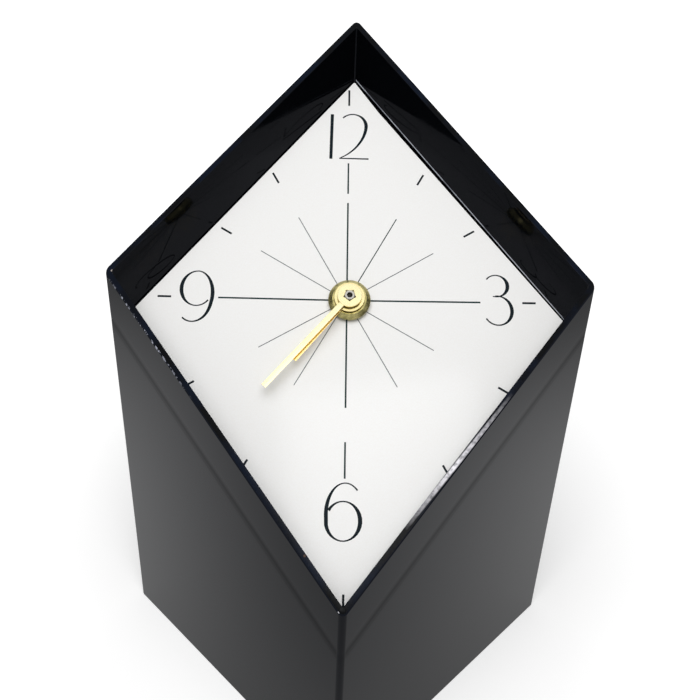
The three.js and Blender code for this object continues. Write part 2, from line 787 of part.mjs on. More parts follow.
/** Moulded bobbin: a tube round the core with a flange at each end. */
function makeCoilBobbin() {
  const halfY = tubeOutsideY + flangeProud;
  const halfZ = tubeOutsideZ + flangeProud;
  const inner = bobbinHalfLength - flangeThickness;
  const through = bobbinHalfLength + past;
  const bobbin = join(
    alongCoil(tubeOutsideY, tubeOutsideZ, bobbinCorner, -bobbinHalfLength, bobbinHalfLength),
    alongCoil(halfY, halfZ, windingCorner, inner, bobbinHalfLength),
    alongCoil(halfY, halfZ, windingCorner, -bobbinHalfLength, -inner),
  );
  return cut(bobbin, alongCoil(tubeInsideY, tubeInsideZ, coreHoleCorner, -through, through));
}

/** The wire on the bobbin, as one ring. */
function makeCoilWinding() {
  const half = bobbinHalfLength - flangeThickness - seatGap;
  const through = half + past;
  const outside = alongCoil(tubeOutsideY + windingBuild, tubeOutsideZ + windingBuild, windingCorner, -half, half);
  const inside = alongCoil(tubeOutsideY + windingGap, tubeOutsideZ + windingGap, bobbinCorner, -through, through);
  return cut(outside, inside);
}

/** Steel core through the bobbin, lying on the stator's legs. */
function makeCoilCore() {
  return block(
    [-statorHalfLength, coilY - coreWidth / 2, coreTop - coreThickness],
    [statorHalfLength, coilY + coreWidth / 2, coreTop],
  );
}

/** Circuit board along the side of the gear room. */
function makeCircuitBoard() {
  const near = strapY + contactThickness + boardStrapGap;
  const outline = roundedRectangle(boardStart, near, boardEnd, roomTop - boardStrapGap, boardCorner);
  return raised(outline, boardBottom, boardTop, 3);
}

/** Quartz crystal in its round can, lying on the board. */
function makeQuartzCrystal() {
  const can = bar(crystalRadius, -crystalLength / 2, crystalLength / 2, 20).rotate([90, 0, 0]);
  return can.translate([boardMiddle, coilY - crystalLength, boardTop + seatGap + crystalRadius]);
}

/** Timing chip under its drop of resin. */
function makeTimingChip() {
  const profile = [[0, 0]];
  const steps = 6;
  for (let step = 0; step <= steps; step += 1) {
    const angle = (Math.PI / 2) * (step / steps);
    profile.push([step === steps ? 0 : chipRadius * Math.cos(angle), chipHeight * Math.sin(angle)]);
  }
  return turned(profile, 24).translate([boardMiddle, thirdPlace[1], boardTop + seatGap]);
}

/** Round cell along the bay, its raised end towards +X. */
function makeBatteryCell() {
  const radius = batteryDiameter / 2;
  const canLength = batteryLength - batteryNubLength;
  const edge = contactThickness;
  const cell = turned(
    [
      [0, 0],
      [radius - edge, 0],
      [radius, edge],
      [radius, canLength - edge],
      [radius - edge, canLength],
      [batteryNubRadius, canLength],
      [batteryNubRadius, batteryLength],
      [0, batteryLength],
    ],
    36,
  );
  return cell.rotate([0, 90, 0]).translate([-batteryLength / 2, batteryY, batteryZ]);
}

/** Contact at the raised end, running through the bay wall's slot to the board's edge. */
function makePositiveContact() {
  const low = rearInside + seatGap;
  return block(
    [contactX, batteryY - batteryNubRadius, low],
    [contactX + contactThickness, gearRoomBottom + contactReach, contactTop],
  );
}

/** Contact at the flat end, with the strap along the bay wall to the board. */
function makeNegativeContact() {
  const low = rearInside + seatGap;
  return join(
    block(
      [-contactX - contactThickness, batteryY - batteryNubRadius, low],
      [-contactX, strapY + contactThickness, contactTop],
    ),
    block(
      [-contactX - contactThickness, strapY, low],
      [boardStart - seatGap, strapY + contactThickness, low + strapHeight],
    ),
  );
}

const blackAcrylic = { color: 0x0b0d12, roughness: 0.08, metalness: 0 };
const whiteCard = { color: 0xeeeeed, roughness: 0.15, metalness: 0 };
const darkBoard = { color: 0x26262a, roughness: 0.6, metalness: 0 };
const polishedBrass = { color: 0xe9c56a, roughness: 0.2, metalness: 1 };
const nickelSteel = { color: 0xb9b9b6, roughness: 0.3, metalness: 1 };
const blackRubber = { color: 0x1b1b1b, roughness: 0.9, metalness: 0 };
const greyPlastic = { color: 0x3a3b3e, roughness: 0.5, metalness: 0 };
const whitePlastic = { color: 0xe6e4dc, roughness: 0.45, metalness: 0 };
const copperWire = { color: 0xb4622d, roughness: 0.35, metalness: 1 };
const greenBoard = { color: 0x1f5a3a, roughness: 0.5, metalness: 0 };
const cellSleeve = { color: 0x9aa0a6, roughness: 0.35, metalness: 0.6 };

/** A named sub-part. */
function part(name, body, finish) {
  const mesh = new THREE.Mesh(surface(body), new THREE.MeshStandardMaterial(finish));
  mesh.name = name;
  return mesh;
}

const clock = new THREE.Group();
clock.add(
  part('case_shell', makeCaseShell(), blackAcrylic),
  part('dial_card', cut(makeDialSheet(-cardThickness, 0), makeCardTrim()), whiteCard),
  part('dial_backing_plate', makeDialSheet(plateBottom, plateTop), darkBoard),
);

// Everything on the hands' axis, +Z towards the viewer and +Y up the slope towards 12
const dial = new THREE.Group();
dial.position.set(0, hubUpSlope * Math.cos(rimTilt), dialHeight + hubUpSlope * Math.sin(rimTilt));
dial.rotation.x = rimTilt;
dial.add(
  part('mounting_nut', makeMountingNut(), polishedBrass),
  part('brass_washer', makeWasher(brassWasherRadius, seatGap, seatGap + brassWasherThickness), polishedBrass),
  part('rubber_washer', makeWasher(rubberWasherRadius, rubberWasherBottom, ledgeTop), blackRubber),
  part('threaded_bushing', makeThreadedBushing(), polishedBrass),
  part('hour_hand', makeHourHand(), polishedBrass),
  part('minute_hand', makeMinuteHand(), polishedBrass),
);

const works = new THREE.Group();
works.rotation.z = radians(movementTurn);
works.add(
  part('front_housing', makeFrontHousing(), greyPlastic),
  part('rear_cover', makeRearCover(), greyPlastic),
  part('middle_plate', makeMiddlePlate(), whitePlastic),
  part('hour_wheel', makeHourWheel(), whitePlastic),
  part('cannon_pinion', makeCannonPinion(), nickelSteel),
  part('minute_wheel', makeMinuteWheel(), whitePlastic),
  part('setting_knob', makeSettingKnob(), whitePlastic),
  part('centre_wheel', makeCentreWheel(), whitePlastic),
  part('third_wheel', makeThirdWheel(), whitePlastic),
  part('seconds_wheel', makeSecondsWheel(), whitePlastic),
  part('intermediate_wheel', makeIntermediateWheel(), whitePlastic),
  part('rotor', makeRotor(), nickelSteel),
  part('stator', makeStator(), nickelSteel),
  part('coil_core', makeCoilCore(), nickelSteel),
  part('coil_bobbin', makeCoilBobbin(), whitePlastic),
  part('coil_winding', makeCoilWinding(), copperWire),
  part('circuit_board', makeCircuitBoard(), greenBoard),
  part('quartz_crystal', makeQuartzCrystal(), nickelSteel),
  part('timing_chip', makeTimingChip(), blackRubber),
  part('positive_contact', makePositiveContact(), nickelSteel),
  part('negative_contact', makeNegativeContact(), nickelSteel),
  part('battery_cell', makeBatteryCell(), cellSleeve),
);
dial.add(works);
clock.add(dial);

export default clock;
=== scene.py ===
"""Looks of a slant-cut acrylic table clock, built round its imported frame.

Pieces are shaped in millimetres, in the case's axes or in the dial's own axes, and placed in metres.
"""

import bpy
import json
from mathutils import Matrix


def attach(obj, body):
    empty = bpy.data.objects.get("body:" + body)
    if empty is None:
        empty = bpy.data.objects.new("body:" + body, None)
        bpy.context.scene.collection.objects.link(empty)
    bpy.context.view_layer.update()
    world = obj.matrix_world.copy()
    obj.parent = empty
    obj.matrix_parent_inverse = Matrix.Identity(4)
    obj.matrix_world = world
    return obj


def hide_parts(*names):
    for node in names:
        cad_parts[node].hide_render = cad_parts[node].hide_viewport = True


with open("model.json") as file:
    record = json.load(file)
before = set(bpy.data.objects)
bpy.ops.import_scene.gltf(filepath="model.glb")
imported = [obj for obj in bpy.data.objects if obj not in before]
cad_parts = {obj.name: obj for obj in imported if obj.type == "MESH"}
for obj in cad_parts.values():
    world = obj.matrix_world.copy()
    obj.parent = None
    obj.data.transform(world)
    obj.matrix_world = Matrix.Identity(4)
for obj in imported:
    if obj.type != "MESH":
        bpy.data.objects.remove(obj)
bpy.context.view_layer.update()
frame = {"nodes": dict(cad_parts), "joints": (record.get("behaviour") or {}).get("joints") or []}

import json
import logging
import math
from collections.abc import Iterable, Sequence
from dataclasses import dataclass, field
from enum import Enum, IntEnum

import bmesh
import bpy
from bmesh.types import BMEdge, BMesh, BMFace, BMVert
from bpy.types import Material, Node, NodeSocket, NodeTree, Object
from mathutils import Matrix, Vector

LOG = logging.getLogger("clock")
MM = 0.001  # metres in a millimetre
IMAGE_SIDE = 700  # pixels, the photograph's frame
ROUND_STEPS = 96
SMOOTH_BELOW = math.radians(32)
FLAT_FACE_WEIGHT = 80  # how much large faces set the normals at their edges

MULTIPLY = {"operation": "MULTIPLY"}  # settings of Math nodes
MULTIPLY_ADD = {"operation": "MULTIPLY_ADD"}
LENGTH = {"operation": "LENGTH"}  # settings of Vector Math nodes
DISTANCE = {"operation": "DISTANCE"}
SUBTRACT = {"operation": "SUBTRACT"}  # settings of either
COLOURS = {"data_type": "RGBA"}  # settings of a Mix node
FALLING = {"To Min": 1.0, "To Max": 0.0}  # inputs of a Map Range node, which rises from 0 to 1 without them

Point = tuple[float, float]
Place = tuple[float, float, float]
Inputs = dict[str | int, object]


class Slot(Enum):
    """The record's material slots, one of which each finish names."""

    ACRYLIC = "black_acrylic"
    CARD = "laminated_card"
    BRASS = "polished_brass"
    PLASTIC = "grey_plastic"
    CELL = "cell_sleeve"


class Body(Enum):
    """The bodies that pieces ride on."""

    CASE = "case"
    MINUTE = "minute"
    HOUR = "hour"
    KNOB = "setting_knob"


class Surface(IntEnum):
    """The case's surfaces, as indices into its finishes."""

    WALL = 0
    RIM = 1
    RECESS = 2
    ARRIS = 3
    SEAM = 4
    SEAM_SIDE = 5


def linear(hex_colour: str) -> tuple[float, float, float, float]:
    """Turn an sRGB hex colour into linear light.

    Args:
        hex_colour: six hex digits, such as "c8a050".

    Returns:
        Red, green, blue and an alpha of 1.
    """
    channels = [int(hex_colour[i : i + 2], 16) / 255 for i in (0, 2, 4)]
    red, green, blue = (c / 12.92 if c <= 0.04045 else ((c + 0.055) / 1.055) ** 2.4 for c in channels)
    return red, green, blue, 1.0


def feed(tree: NodeTree, node: Node, inputs: Inputs) -> None:
    """Set a node's inputs.

    Args:
        tree: the tree that the node is in.
        node: the node that gets them.
        inputs: for each input, by name or by index, a plain value, an output, or a node that stands for its
            first live output.
    """
    for key, value in inputs.items():
        if isinstance(key, int):
            socket = node.inputs[key]
        else:
            socket = next(socket for socket in node.inputs if socket.enabled and socket.name == key)
        if isinstance(value, Node):
            value = next(output for output in value.outputs if output.enabled)
        if isinstance(value, NodeSocket):
            tree.links.new(value, socket)
        else:
            socket.default_value = value


def add_node(
    tree: NodeTree, kind: str, inputs: Inputs | None = None, settings: dict[str, object] | None = None
) -> Node:
    """Add a node with its settings and inputs.

    Args:
        tree: the node tree that gets the node.
        kind: the node's type name without "ShaderNode".
        inputs: its inputs, as feed takes them.
        settings: the node's own properties.

    Returns:
        The new node.
    """
    made = tree.nodes.new("ShaderNode" + kind)
    for name, value in (settings or {}).items():
        setattr(made, name, value)
    feed(tree, made, inputs or {})
    return made


def millimetres(tree: NodeTree, turn: Place = (0, 0, 0)) -> Node:
    """Object coordinates in millimetres, turned if asked.

    Args:
        tree: the material's node tree.
        turn: rotation of the coordinates in radians.

    Returns:
        The node that gives them.
    """
    place = add_node(tree, "TexCoord").outputs["Object"]
    return add_node(tree, "Mapping", {"Vector": place, "Scale": (1 / MM, 1 / MM, 1 / MM), "Rotation": turn})


@dataclass(frozen=True)
class Mark:
    """A small chip, speck or painted glint at one place, in millimetres in the case's axes."""

    place: Place
    radius: float
    colour: str

    def over(self, tree: NodeTree, under: Node) -> Node:
        """Lay the mark over a colour.

        Args:
            tree: the material's node tree.
            under: the colour below it.

        Returns:
            The colour with the mark.
        """
        away = add_node(tree, "VectorMath", {0: millimetres(tree), 1: self.place}, DISTANCE)
        fading = {"Value": away, "From Min": self.radius / 2, "From Max": self.radius, **FALLING}
        share = add_node(tree, "MapRange", fading)
        return add_node(tree, "Mix", {"Factor": share, "A": under, "B": linear(self.colour)}, COLOURS)


@dataclass(frozen=True)
class Finish:
    """A surface finish that is made into one material when it is first asked for."""

    name: str
    colour: str
    slot: Slot
    roughness: float = 0.4
    metallic: float = 0.0
    ior: float = 1.5

    def material(self) -> Material:
        """The Blender material of this finish.

        Returns:
            The material, made at the first call.
        """
        made = bpy.data.materials.get(self.name)
        if made is None:
            made = bpy.data.materials.new(self.name)
            made.use_nodes = True
            tree = made.node_tree
            tree.nodes.clear()
            plain = {
                "Base Color": linear(self.colour),
                "Roughness": self.roughness,
                "Metallic": self.metallic,
                "IOR": self.ior,
            }
            shader = add_node(tree, "BsdfPrincipled", {**plain, **self.pattern(tree)})
            add_node(tree, "OutputMaterial", {"Surface": shader})
        return made

    def pattern(self, tree: NodeTree) -> Inputs:
        """The finish's own inputs to its Principled shader."""
        return {}

    def dulled(self, tree: NodeTree, pattern: Node, ends: Point, more: float, less: float = 0.0) -> Node:
        """Roughness that grows with a pattern.

        Args:
            tree: the material's node tree.
            pattern: what it grows with.
            ends: the pattern's values where the growth starts and ends.
            more: roughness above the finish's own at the end.
            less: roughness below the finish's own at the start.

        Returns:
            The roughness.
        """
        start, end = self.roughness - less, self.roughness + more
        low, high = ends
        grown = {"Value": pattern, "From Min": low, "From Max": high, "To Min": start, "To Max": end}
        return add_node(tree, "MapRange", grown)

    def shaded(self, tree: NodeTree, pattern: Node, ends: Point, other: str) -> Node:
        """Colour that goes over from the finish's own into another with a pattern.

        Args:
            tree: the material's node tree.
            pattern: what it goes with.
            ends: the pattern's values where the change starts and ends.
            other: the other colour.

        Returns:
            The colour.
        """
        share = add_node(tree, "MapRange", {"Value": pattern, "From Min": ends[0], "From Max": ends[1]})
        return add_node(tree, "Mix", {"Factor": share, "A": linear(self.colour), "B": linear(other)}, COLOURS)

    def relief(self, tree: NodeTree, size: float, detail: float, depth: float) -> Node:
        """Uneven surface whose features have a real size and depth in millimetres.

        Args:
            tree: the material's node tree.
            size: of a feature.
            detail: finer features added on top.
            depth: from the lowest place to the highest.

        Returns:
            The bumps.
        """
        lumps = add_node(tree, "TexNoise", {"Vector": millimetres(tree), "Scale": 1 / size, "Detail": detail})
        return add_node(tree, "Bump", {"Height": lumps, "Distance": depth * MM})


@dataclass(frozen=True)
class CastAcrylic(Finish):
    """Flame-polished black acrylic: a deep mirror with faint hand smudges that dull it in patches."""

    tint: str = "e9eeff"
    smudge_size: float = 16.0
    wave_length: float = 22.0
    wave_depth: float = 0.004

    def pattern(self, tree: NodeTree) -> Inputs:
        """Smudges in the roughness, and the slow waviness of cast sheet.

        Args:
            tree: the material's node tree.

        Returns:
            The inputs that it sets.
        """
        patches = {"Vector": millimetres(tree), "Scale": 1 / self.smudge_size, "Detail": 5.0}
        smudges = add_node(tree, "TexNoise", patches)
        return {
            "Roughness": self.dulled(tree, smudges, (0.45, 0.75), 0.1),
            "Normal": self.relief(tree, self.wave_length, 1.0, self.wave_depth),
            "Specular Tint": linear(self.tint),
        }


@dataclass(frozen=True)
class SawnRim(Finish):
    """Sawn and polished acrylic edge: the same black with fine marks, a blue cast and a painted highlight."""

    clear_colour: str = "000103"
    cast_size: float = 12.0
    grain: float = 0.6
    grain_depth: float = 0.006
    # Painted highlight: a pale streak along the right front edge, in place of light that the edge mirrors.
    highlight_colour: str = "f4f2f8"
    highlight_ends: Place = (-14.0, 9.0, 27.0)  # start, brightest place and end along the right front edge
    highlight_lean: float = -0.022  # it crosses from the outer side to the inner one
    highlight_line: float = 49.32  # its distance from the tube's axis
    highlight_half: Point = (0.32, 0.62)  # half its breadth, where it is full and where it ends
    break_size: float = 1.2
    marks: tuple[Mark, ...] = ()

    def streak_highlight(self, tree: NodeTree) -> Node:
        """Share of painted highlight: one long pale streak along the right front edge, broken up by a fine
        noise.

        Args:
            tree: the material's node tree.

        Returns:
            The share, 0 to 1.
        """
        square = add_node(tree, "SeparateXYZ", {"Vector": millimetres(tree, (0, 0, math.radians(45)))})
        along, across = square.outputs["Y"], square.outputs["X"]
        start, middle, end = self.highlight_ends
        rising = add_node(tree, "MapRange", {"Value": along, "From Min": -end, "From Max": -middle})
        fall = {"Value": along, "From Min": -middle, "From Max": -start, **FALLING}
        long_way = add_node(tree, "Math", {0: rising, 1: add_node(tree, "MapRange", fall)}, MULTIPLY)
        lean = add_node(tree, "Math", {0: along, 1: self.highlight_lean, 2: across}, MULTIPLY_ADD)
        off_line = add_node(tree, "Math", {0: lean, 1: self.highlight_line}, SUBTRACT)
        side = add_node(tree, "Math", {0: off_line}, {"operation": "ABSOLUTE"})
        full, edge = self.highlight_half
        thin = {"Value": side, "From Min": full, "From Max": edge, **FALLING}
        streak = add_node(tree, "Math", {0: long_way, 1: add_node(tree, "MapRange", thin)}, MULTIPLY)
        place = millimetres(tree)
        breaks = add_node(tree, "TexNoise", {"Vector": place, "Scale": 1 / self.break_size, "Detail": 4.0})
        broken_up = {"Value": breaks, "From Min": 0.36, "From Max": 0.56, "To Min": 0.45}
        return add_node(tree, "Math", {0: streak, 1: add_node(tree, "MapRange", broken_up)}, MULTIPLY)

    def pattern(self, tree: NodeTree) -> Inputs:
        """Fine marks left by polishing, the blue cast in patches, the painted highlight's pale streak, and
        single specks.

        Args:
            tree: the material's node tree.

        Returns:
            The inputs that it sets.
        """
        place = millimetres(tree)
        grain = add_node(tree, "TexNoise", {"Vector": place, "Scale": 1 / self.grain, "Detail": 4.0})
        patches = add_node(tree, "TexNoise", {"Vector": place, "Scale": 1 / self.cast_size, "Detail": 3.0})
        cast = add_node(tree, "MapRange", {"Value": patches, "From Min": 0.4, "From Max": 0.62})
        black = {"Factor": cast, "A": linear(self.clear_colour), "B": linear(self.colour)}
        colour = add_node(tree, "Mix", black, COLOURS)
        # The pale streak is a painted highlight.
        highlit = {"Factor": self.streak_highlight(tree), "A": colour, "B": linear(self.highlight_colour)}
        colour = add_node(tree, "Mix", highlit, COLOURS)
        for mark in self.marks:
            colour = mark.over(tree, colour)
        return {
            "Base Color": colour,
            "Roughness": self.dulled(tree, grain, (0.3, 0.7), 0.15),
            "Normal": add_node(tree, "Bump", {"Height": grain, "Distance": self.grain_depth * MM}),
        }


@dataclass(frozen=True)
class GlintingArris(Finish):
    """The rim's outer arris, where painted highlights show white in short broken dashes, drawn as tiny nicks.
    """

    glint_colour: str = "a4a7b4"
    glint_size: float = 0.9
    dash_depth: float = 0.03
    dash_roughness: float = 0.6
    cluster_size: float = 9.0
    glint_side: Point = (-54.0, -42.0)  # X between which the painted highlights of the left corner fade out
    marks: tuple[Mark, ...] = ()

    def pattern(self, tree: NodeTree) -> Inputs:
        """Painted highlights near the left corner, where a fine noise and a coarse one are both high, and
        single spots.

        Args:
            tree: the material's node tree.

        Returns:
            The inputs that it sets.
        """
        place = millimetres(tree)
        small = add_node(tree, "TexNoise", {"Vector": place, "Scale": 1 / self.glint_size, "Detail": 2.0})
        large = add_node(tree, "TexNoise", {"Vector": place, "Scale": 1 / self.cluster_size, "Detail": 2.0})
        fine = add_node(tree, "MapRange", {"Value": small, "From Min": 0.51, "From Max": 0.58})
        coarse = add_node(tree, "MapRange", {"Value": large, "From Min": 0.36, "From Max": 0.48})
        glint_dashes = add_node(tree, "Math", {0: fine, 1: coarse}, MULTIPLY)
        across = add_node(tree, "SeparateXYZ", {"Vector": place}).outputs["X"]
        start, end = self.glint_side
        worn = {"Value": across, "From Min": start, "From Max": end, **FALLING}
        glint_dashes = add_node(tree, "Math", {0: glint_dashes, 1: add_node(tree, "MapRange", worn)}, MULTIPLY)
        shades = {"Factor": glint_dashes, "A": linear(self.colour), "B": linear(self.glint_colour)}
        colour = add_node(tree, "Mix", shades, COLOURS)
        for mark in self.marks:
            colour = mark.over(tree, colour)
        return {
            "Base Color": colour,
            "Roughness": self.dulled(tree, glint_dashes, (0.0, 1.0), self.dash_roughness - self.roughness),
            "Normal": add_node(tree, "Bump", {"Height": glint_dashes, "Distance": -self.dash_depth * MM}),
        }


@dataclass(frozen=True)
class LaminatedCard(Finish):
    """White card under a glossy film, whose slight ripple breaks up the light it mirrors."""

    fibre_colour: str = "edecea"
    fibre_size: float = 0.4
    ripple_length: float = 2.6
    ripple_depth: float = 0.012
    film_roughness: float = 0.12
    film_ior: float = 1.45

    def pattern(self, tree: NodeTree) -> Inputs:
        """Paper fibre in the colour and ripples in the film.

        Args:
            tree: the material's node tree.

        Returns:
            The inputs that it sets.
        """
        specks = {"Vector": millimetres(tree), "Scale": 1 / self.fibre_size, "Detail": 5.0}
        fibre = add_node(tree, "TexNoise", specks)
        return {
            "Base Color": self.shaded(tree, fibre, (0.35, 0.65), self.fibre_colour),
            "Coat Normal": self.relief(tree, self.ripple_length, 2.0, self.ripple_depth),
            "Coat Weight": 1.0,
            "Coat Roughness": self.film_roughness,
            "Coat IOR": self.film_ior,
        }


@dataclass(frozen=True)
class PrintInk(Finish):
    """Screen-printed ink under the film: nearly black, a little uneven, as glossy as the film."""

    pale: str = "3c464c"
    patch_size: float = 1.2

    def pattern(self, tree: NodeTree) -> Inputs:
        """Slight unevenness of the ink.

        Args:
            tree: the material's node tree.

        Returns:
            The inputs that it sets.
        """
        patches = {"Vector": millimetres(tree), "Scale": 1 / self.patch_size, "Detail": 3.0}
        share = add_node(tree, "TexNoise", patches)
        shades = {"Factor": share, "A": linear(self.colour), "B": linear(self.pale)}
        return {"Base Color": add_node(tree, "Mix", shades, COLOURS)}


@dataclass(frozen=True)
class TurnedBrass(Finish):
    """Brass turned on a lathe: fine rings round the dial's hub, lacquered and a little tarnished."""

    tarnish: str = "6f6a3c"
    stain_size: float = 1.5
    ring_pitch: float = 0.22  # drawn wider than real tool marks, so that they show
    ring_depth: float = 0.002

    def pattern(self, tree: NodeTree) -> Inputs:
        """Rings by distance from the hands' axis, and tarnish in patches.

        Args:
            tree: the material's node tree.

        Returns:
            The inputs that it sets.
        """
        place = millimetres(tree)
        centred = add_node(tree, "VectorMath", {0: place, 1: DIAL.hub / MM}, SUBTRACT)
        across = add_node(tree, "VectorMath", {0: centred, 1: DIAL.normal}, {"operation": "CROSS_PRODUCT"})
        radius = add_node(tree, "VectorMath", {0: across}, LENGTH)
        turns = add_node(tree, "Math", {0: radius, 1: 2 * math.pi / self.ring_pitch}, MULTIPLY)
        rings = add_node(tree, "Math", {0: turns}, {"operation": "SINE"})
        stains = add_node(tree, "TexNoise", {"Vector": place, "Scale": 1 / self.stain_size, "Detail": 4.0})
        return {
            "Base Color": self.shaded(tree, stains, (0.4, 0.7), self.tarnish),
            "Normal": add_node(tree, "Bump", {"Height": rings, "Distance": self.ring_depth * MM}),
        }


@dataclass(frozen=True)
class StampedBrass(Finish):
    """Stamped, polished and lacquered brass sheet: a warm mirror, with painted light on its bar."""

    bar_painted_light: str = "fff4c4"
    hub_reach: Point = (5.0, 7.5)  # radii between which the hub's colour goes over into the bar's painted light
    grain: float = 0.25
    grain_depth: float = 0.001
    lacquer_size: float = 2.0

    def pattern(self, tree: NodeTree) -> Inputs:
        """Faint grain of the rolled sheet, soft patches in the lacquer, and the bar's painted light.

        Args:
            tree: the material's node tree.

        Returns:
            The inputs that it sets.
        """
        place = millimetres(tree)
        lacquer = add_node(tree, "TexNoise", {"Vector": place, "Scale": 1 / self.lacquer_size, "Detail": 2.0})
        away = add_node(tree, "VectorMath", {0: place, 1: DIAL.hub / MM}, DISTANCE)
        return {
            "Base Color": self.shaded(tree, away, self.hub_reach, self.bar_painted_light),
            "Roughness": self.dulled(tree, lacquer, (0.3, 0.7), 0.08),
            "Normal": self.relief(tree, self.grain, 4.0, self.grain_depth),
        }


@dataclass(frozen=True)
class GlintBead(Finish):
    """A thin shiny bead in a corner, whose pale grey is a painted glint, greyer in long stretches."""

    thin: str = "6c7078"
    run_length: float = 7.0
    lump_size: float = 0.8
    lump_depth: float = 0.02

    def pattern(self, tree: NodeTree) -> Inputs:
        """Long dim and full lengths in the painted glint, and small lumps along the bead.

        Args:
            tree: the material's node tree.

        Returns:
            The inputs that it sets.
        """
        lengths = {"Vector": millimetres(tree), "Scale": 1 / self.run_length, "Detail": 2.0}
        runs = add_node(tree, "TexNoise", lengths)
        full = add_node(tree, "MapRange", {"Value": runs, "From Min": 0.36, "From Max": 0.5})
        shades = {"Factor": full, "A": linear(self.thin), "B": linear(self.colour)}
        return {
            "Base Color": add_node(tree, "Mix", shades, COLOURS),
            "Normal": self.relief(tree, self.lump_size, 2.0, self.lump_depth),
        }


@dataclass(frozen=True)
class SparkedPlastic(Finish):
    """Plastic from a spark-eroded mould: an even fine grain that scatters the light."""

    grain: float = 0.35  # coarser than the real texture, so that it shows
    grain_depth: float = 0.02

    def pattern(self, tree: NodeTree) -> Inputs:
        """Fine grain in height and roughness.

        Args:
            tree: the material's node tree.

        Returns:
            The inputs that it sets.
        """
        even = {"Vector": millimetres(tree), "Scale": 1 / self.grain, "Detail": 4.0}
        pits = add_node(tree, "TexNoise", even)
        return {
            "Roughness": self.dulled(tree, pits, (0.3, 0.7), 0.1, less=0.06),
            "Normal": add_node(tree, "Bump", {"Height": pits, "Distance": self.grain_depth * MM}),
        }


@dataclass(frozen=True)
class PressedFibre(Finish):
    """Dyed hardboard: matt, with pressed fibres in two shades."""

    pale: str = "3a3532"
    turn: Place = (0.3, 0.2, 0.6)  # so that the fibres don't lie square to the board
    fibres_per_mm: float = 0.9  # fewer than the real ones, so that they show
    fibre_depth: float = 0.08

    def pattern(self, tree: NodeTree) -> Inputs:
        """Short winding fibres, from one strongly distorted noise.

        Args:
            tree: the material's node tree.

        Returns:
            The inputs that it sets.
        """
        winding = {"Scale": self.fibres_per_mm, "Detail": 8.0, "Distortion": 2.5}
        fibres = add_node(tree, "TexNoise", {"Vector": millimetres(tree, self.turn), **winding})
        return {
            "Base Color": self.shaded(tree, fibres, (0.35, 0.7), self.pale),
            "Normal": add_node(tree, "Bump", {"Height": fibres, "Distance": self.fibre_depth * MM}),
        }


@dataclass(frozen=True)
class WoundWire(Finish):
    """Enamelled copper wire in close turns."""

    pitch: float = 0.3  # about five real turns, so that they show
    wave_repeats: float = 3.0  # about how often a wave texture of scale 1 repeats in one unit
    turn_depth: float = 0.05

    def pattern(self, tree: NodeTree) -> Inputs:
        """Turns across the coil, which lies along the movement's own X.

        Args:
            tree: the material's node tree.

        Returns:
            The inputs that it sets.
        """
        along = millimetres(tree, DIAL.turn_to_works())
        turns = {"Vector": along, "Scale": 1 / self.pitch / self.wave_repeats, "Distortion": 0.2}
        wave = add_node(tree, "TexWave", turns, {"bands_direction": "X"}).outputs["Fac"]
        return {"Normal": add_node(tree, "Bump", {"Height": wave, "Distance": self.turn_depth * MM})}


@dataclass(frozen=True)
class PlatedSteel(Finish):
    """Nickel-plated steel strip with a soft, fine grain."""

    grains_per_mm: float = 3.0
    grain_depth: float = 0.004

    def pattern(self, tree: NodeTree) -> Inputs:
        """Fine uneven grain, in the movement's own axes.

        Args:
            tree: the material's node tree.

        Returns:
            The inputs that it sets.
        """
        uneven = {"Scale": self.grains_per_mm, "Detail": 5.0, "Distortion": 0.6}
        grain = add_node(tree, "TexNoise", {"Vector": millimetres(tree, DIAL.turn_to_works()), **uneven})
        return {
            "Roughness": self.dulled(tree, grain, (0.3, 0.7), 0.15),
            "Normal": add_node(tree, "Bump", {"Height": grain, "Distance": self.grain_depth * MM}),
        }


@dataclass(frozen=True)
class CellSleeve(Finish):
    """Shrunk plastic sleeve of a dry cell in one plain colour, with a slight orange peel."""

    peel_size: float = 1.2
    peel_depth: float = 0.01

    def pattern(self, tree: NodeTree) -> Inputs:
        """The orange peel."""
        return {"Normal": self.relief(tree, self.peel_size, 2.0, self.peel_depth)}


@dataclass(frozen=True)
class DialAxes:
    """The dial's own axes in millimetres: X right, Y up the slope to 12, Z towards the viewer."""

    hub: Vector
    normal: Vector
    movement_turn: float = 45.0  # degrees that the movement is turned behind the dial

    @classmethod
    def of_joint(cls, joints: Iterable[dict], name: str) -> "DialAxes":
        """Take the axes from the hands' joint, which stands on the card's face."""
        joint = next(row for row in joints if row["name"] == name)
        return cls(Vector(joint["pos_m"]), -Vector(joint["axis"]).normalized())

    def matrix(self) -> Matrix:
        """From millimetres in the dial's axes to metres in the frame.

        Returns:
            The matrix.
        """
        right = Vector((1, 0, 0))
        up_slope = self.normal.cross(right)
        turn = Matrix((right, up_slope, self.normal)).transposed().to_4x4()
        return Matrix.Translation(self.hub) @ turn @ Matrix.Scale(MM, 4)

    def turn_to_works(self) -> Place:
        """Rotation that brings object coordinates into the movement's axes."""
        works = self.matrix() @ Matrix.Rotation(math.radians(self.movement_turn), 4, "Z")
        return tuple(works.to_3x3().normalized().transposed().to_euler("XYZ"))


DIAL = DialAxes.of_joint(frame["joints"], "minute_turn")
CASE_AXES = Matrix.Scale(MM, 4)


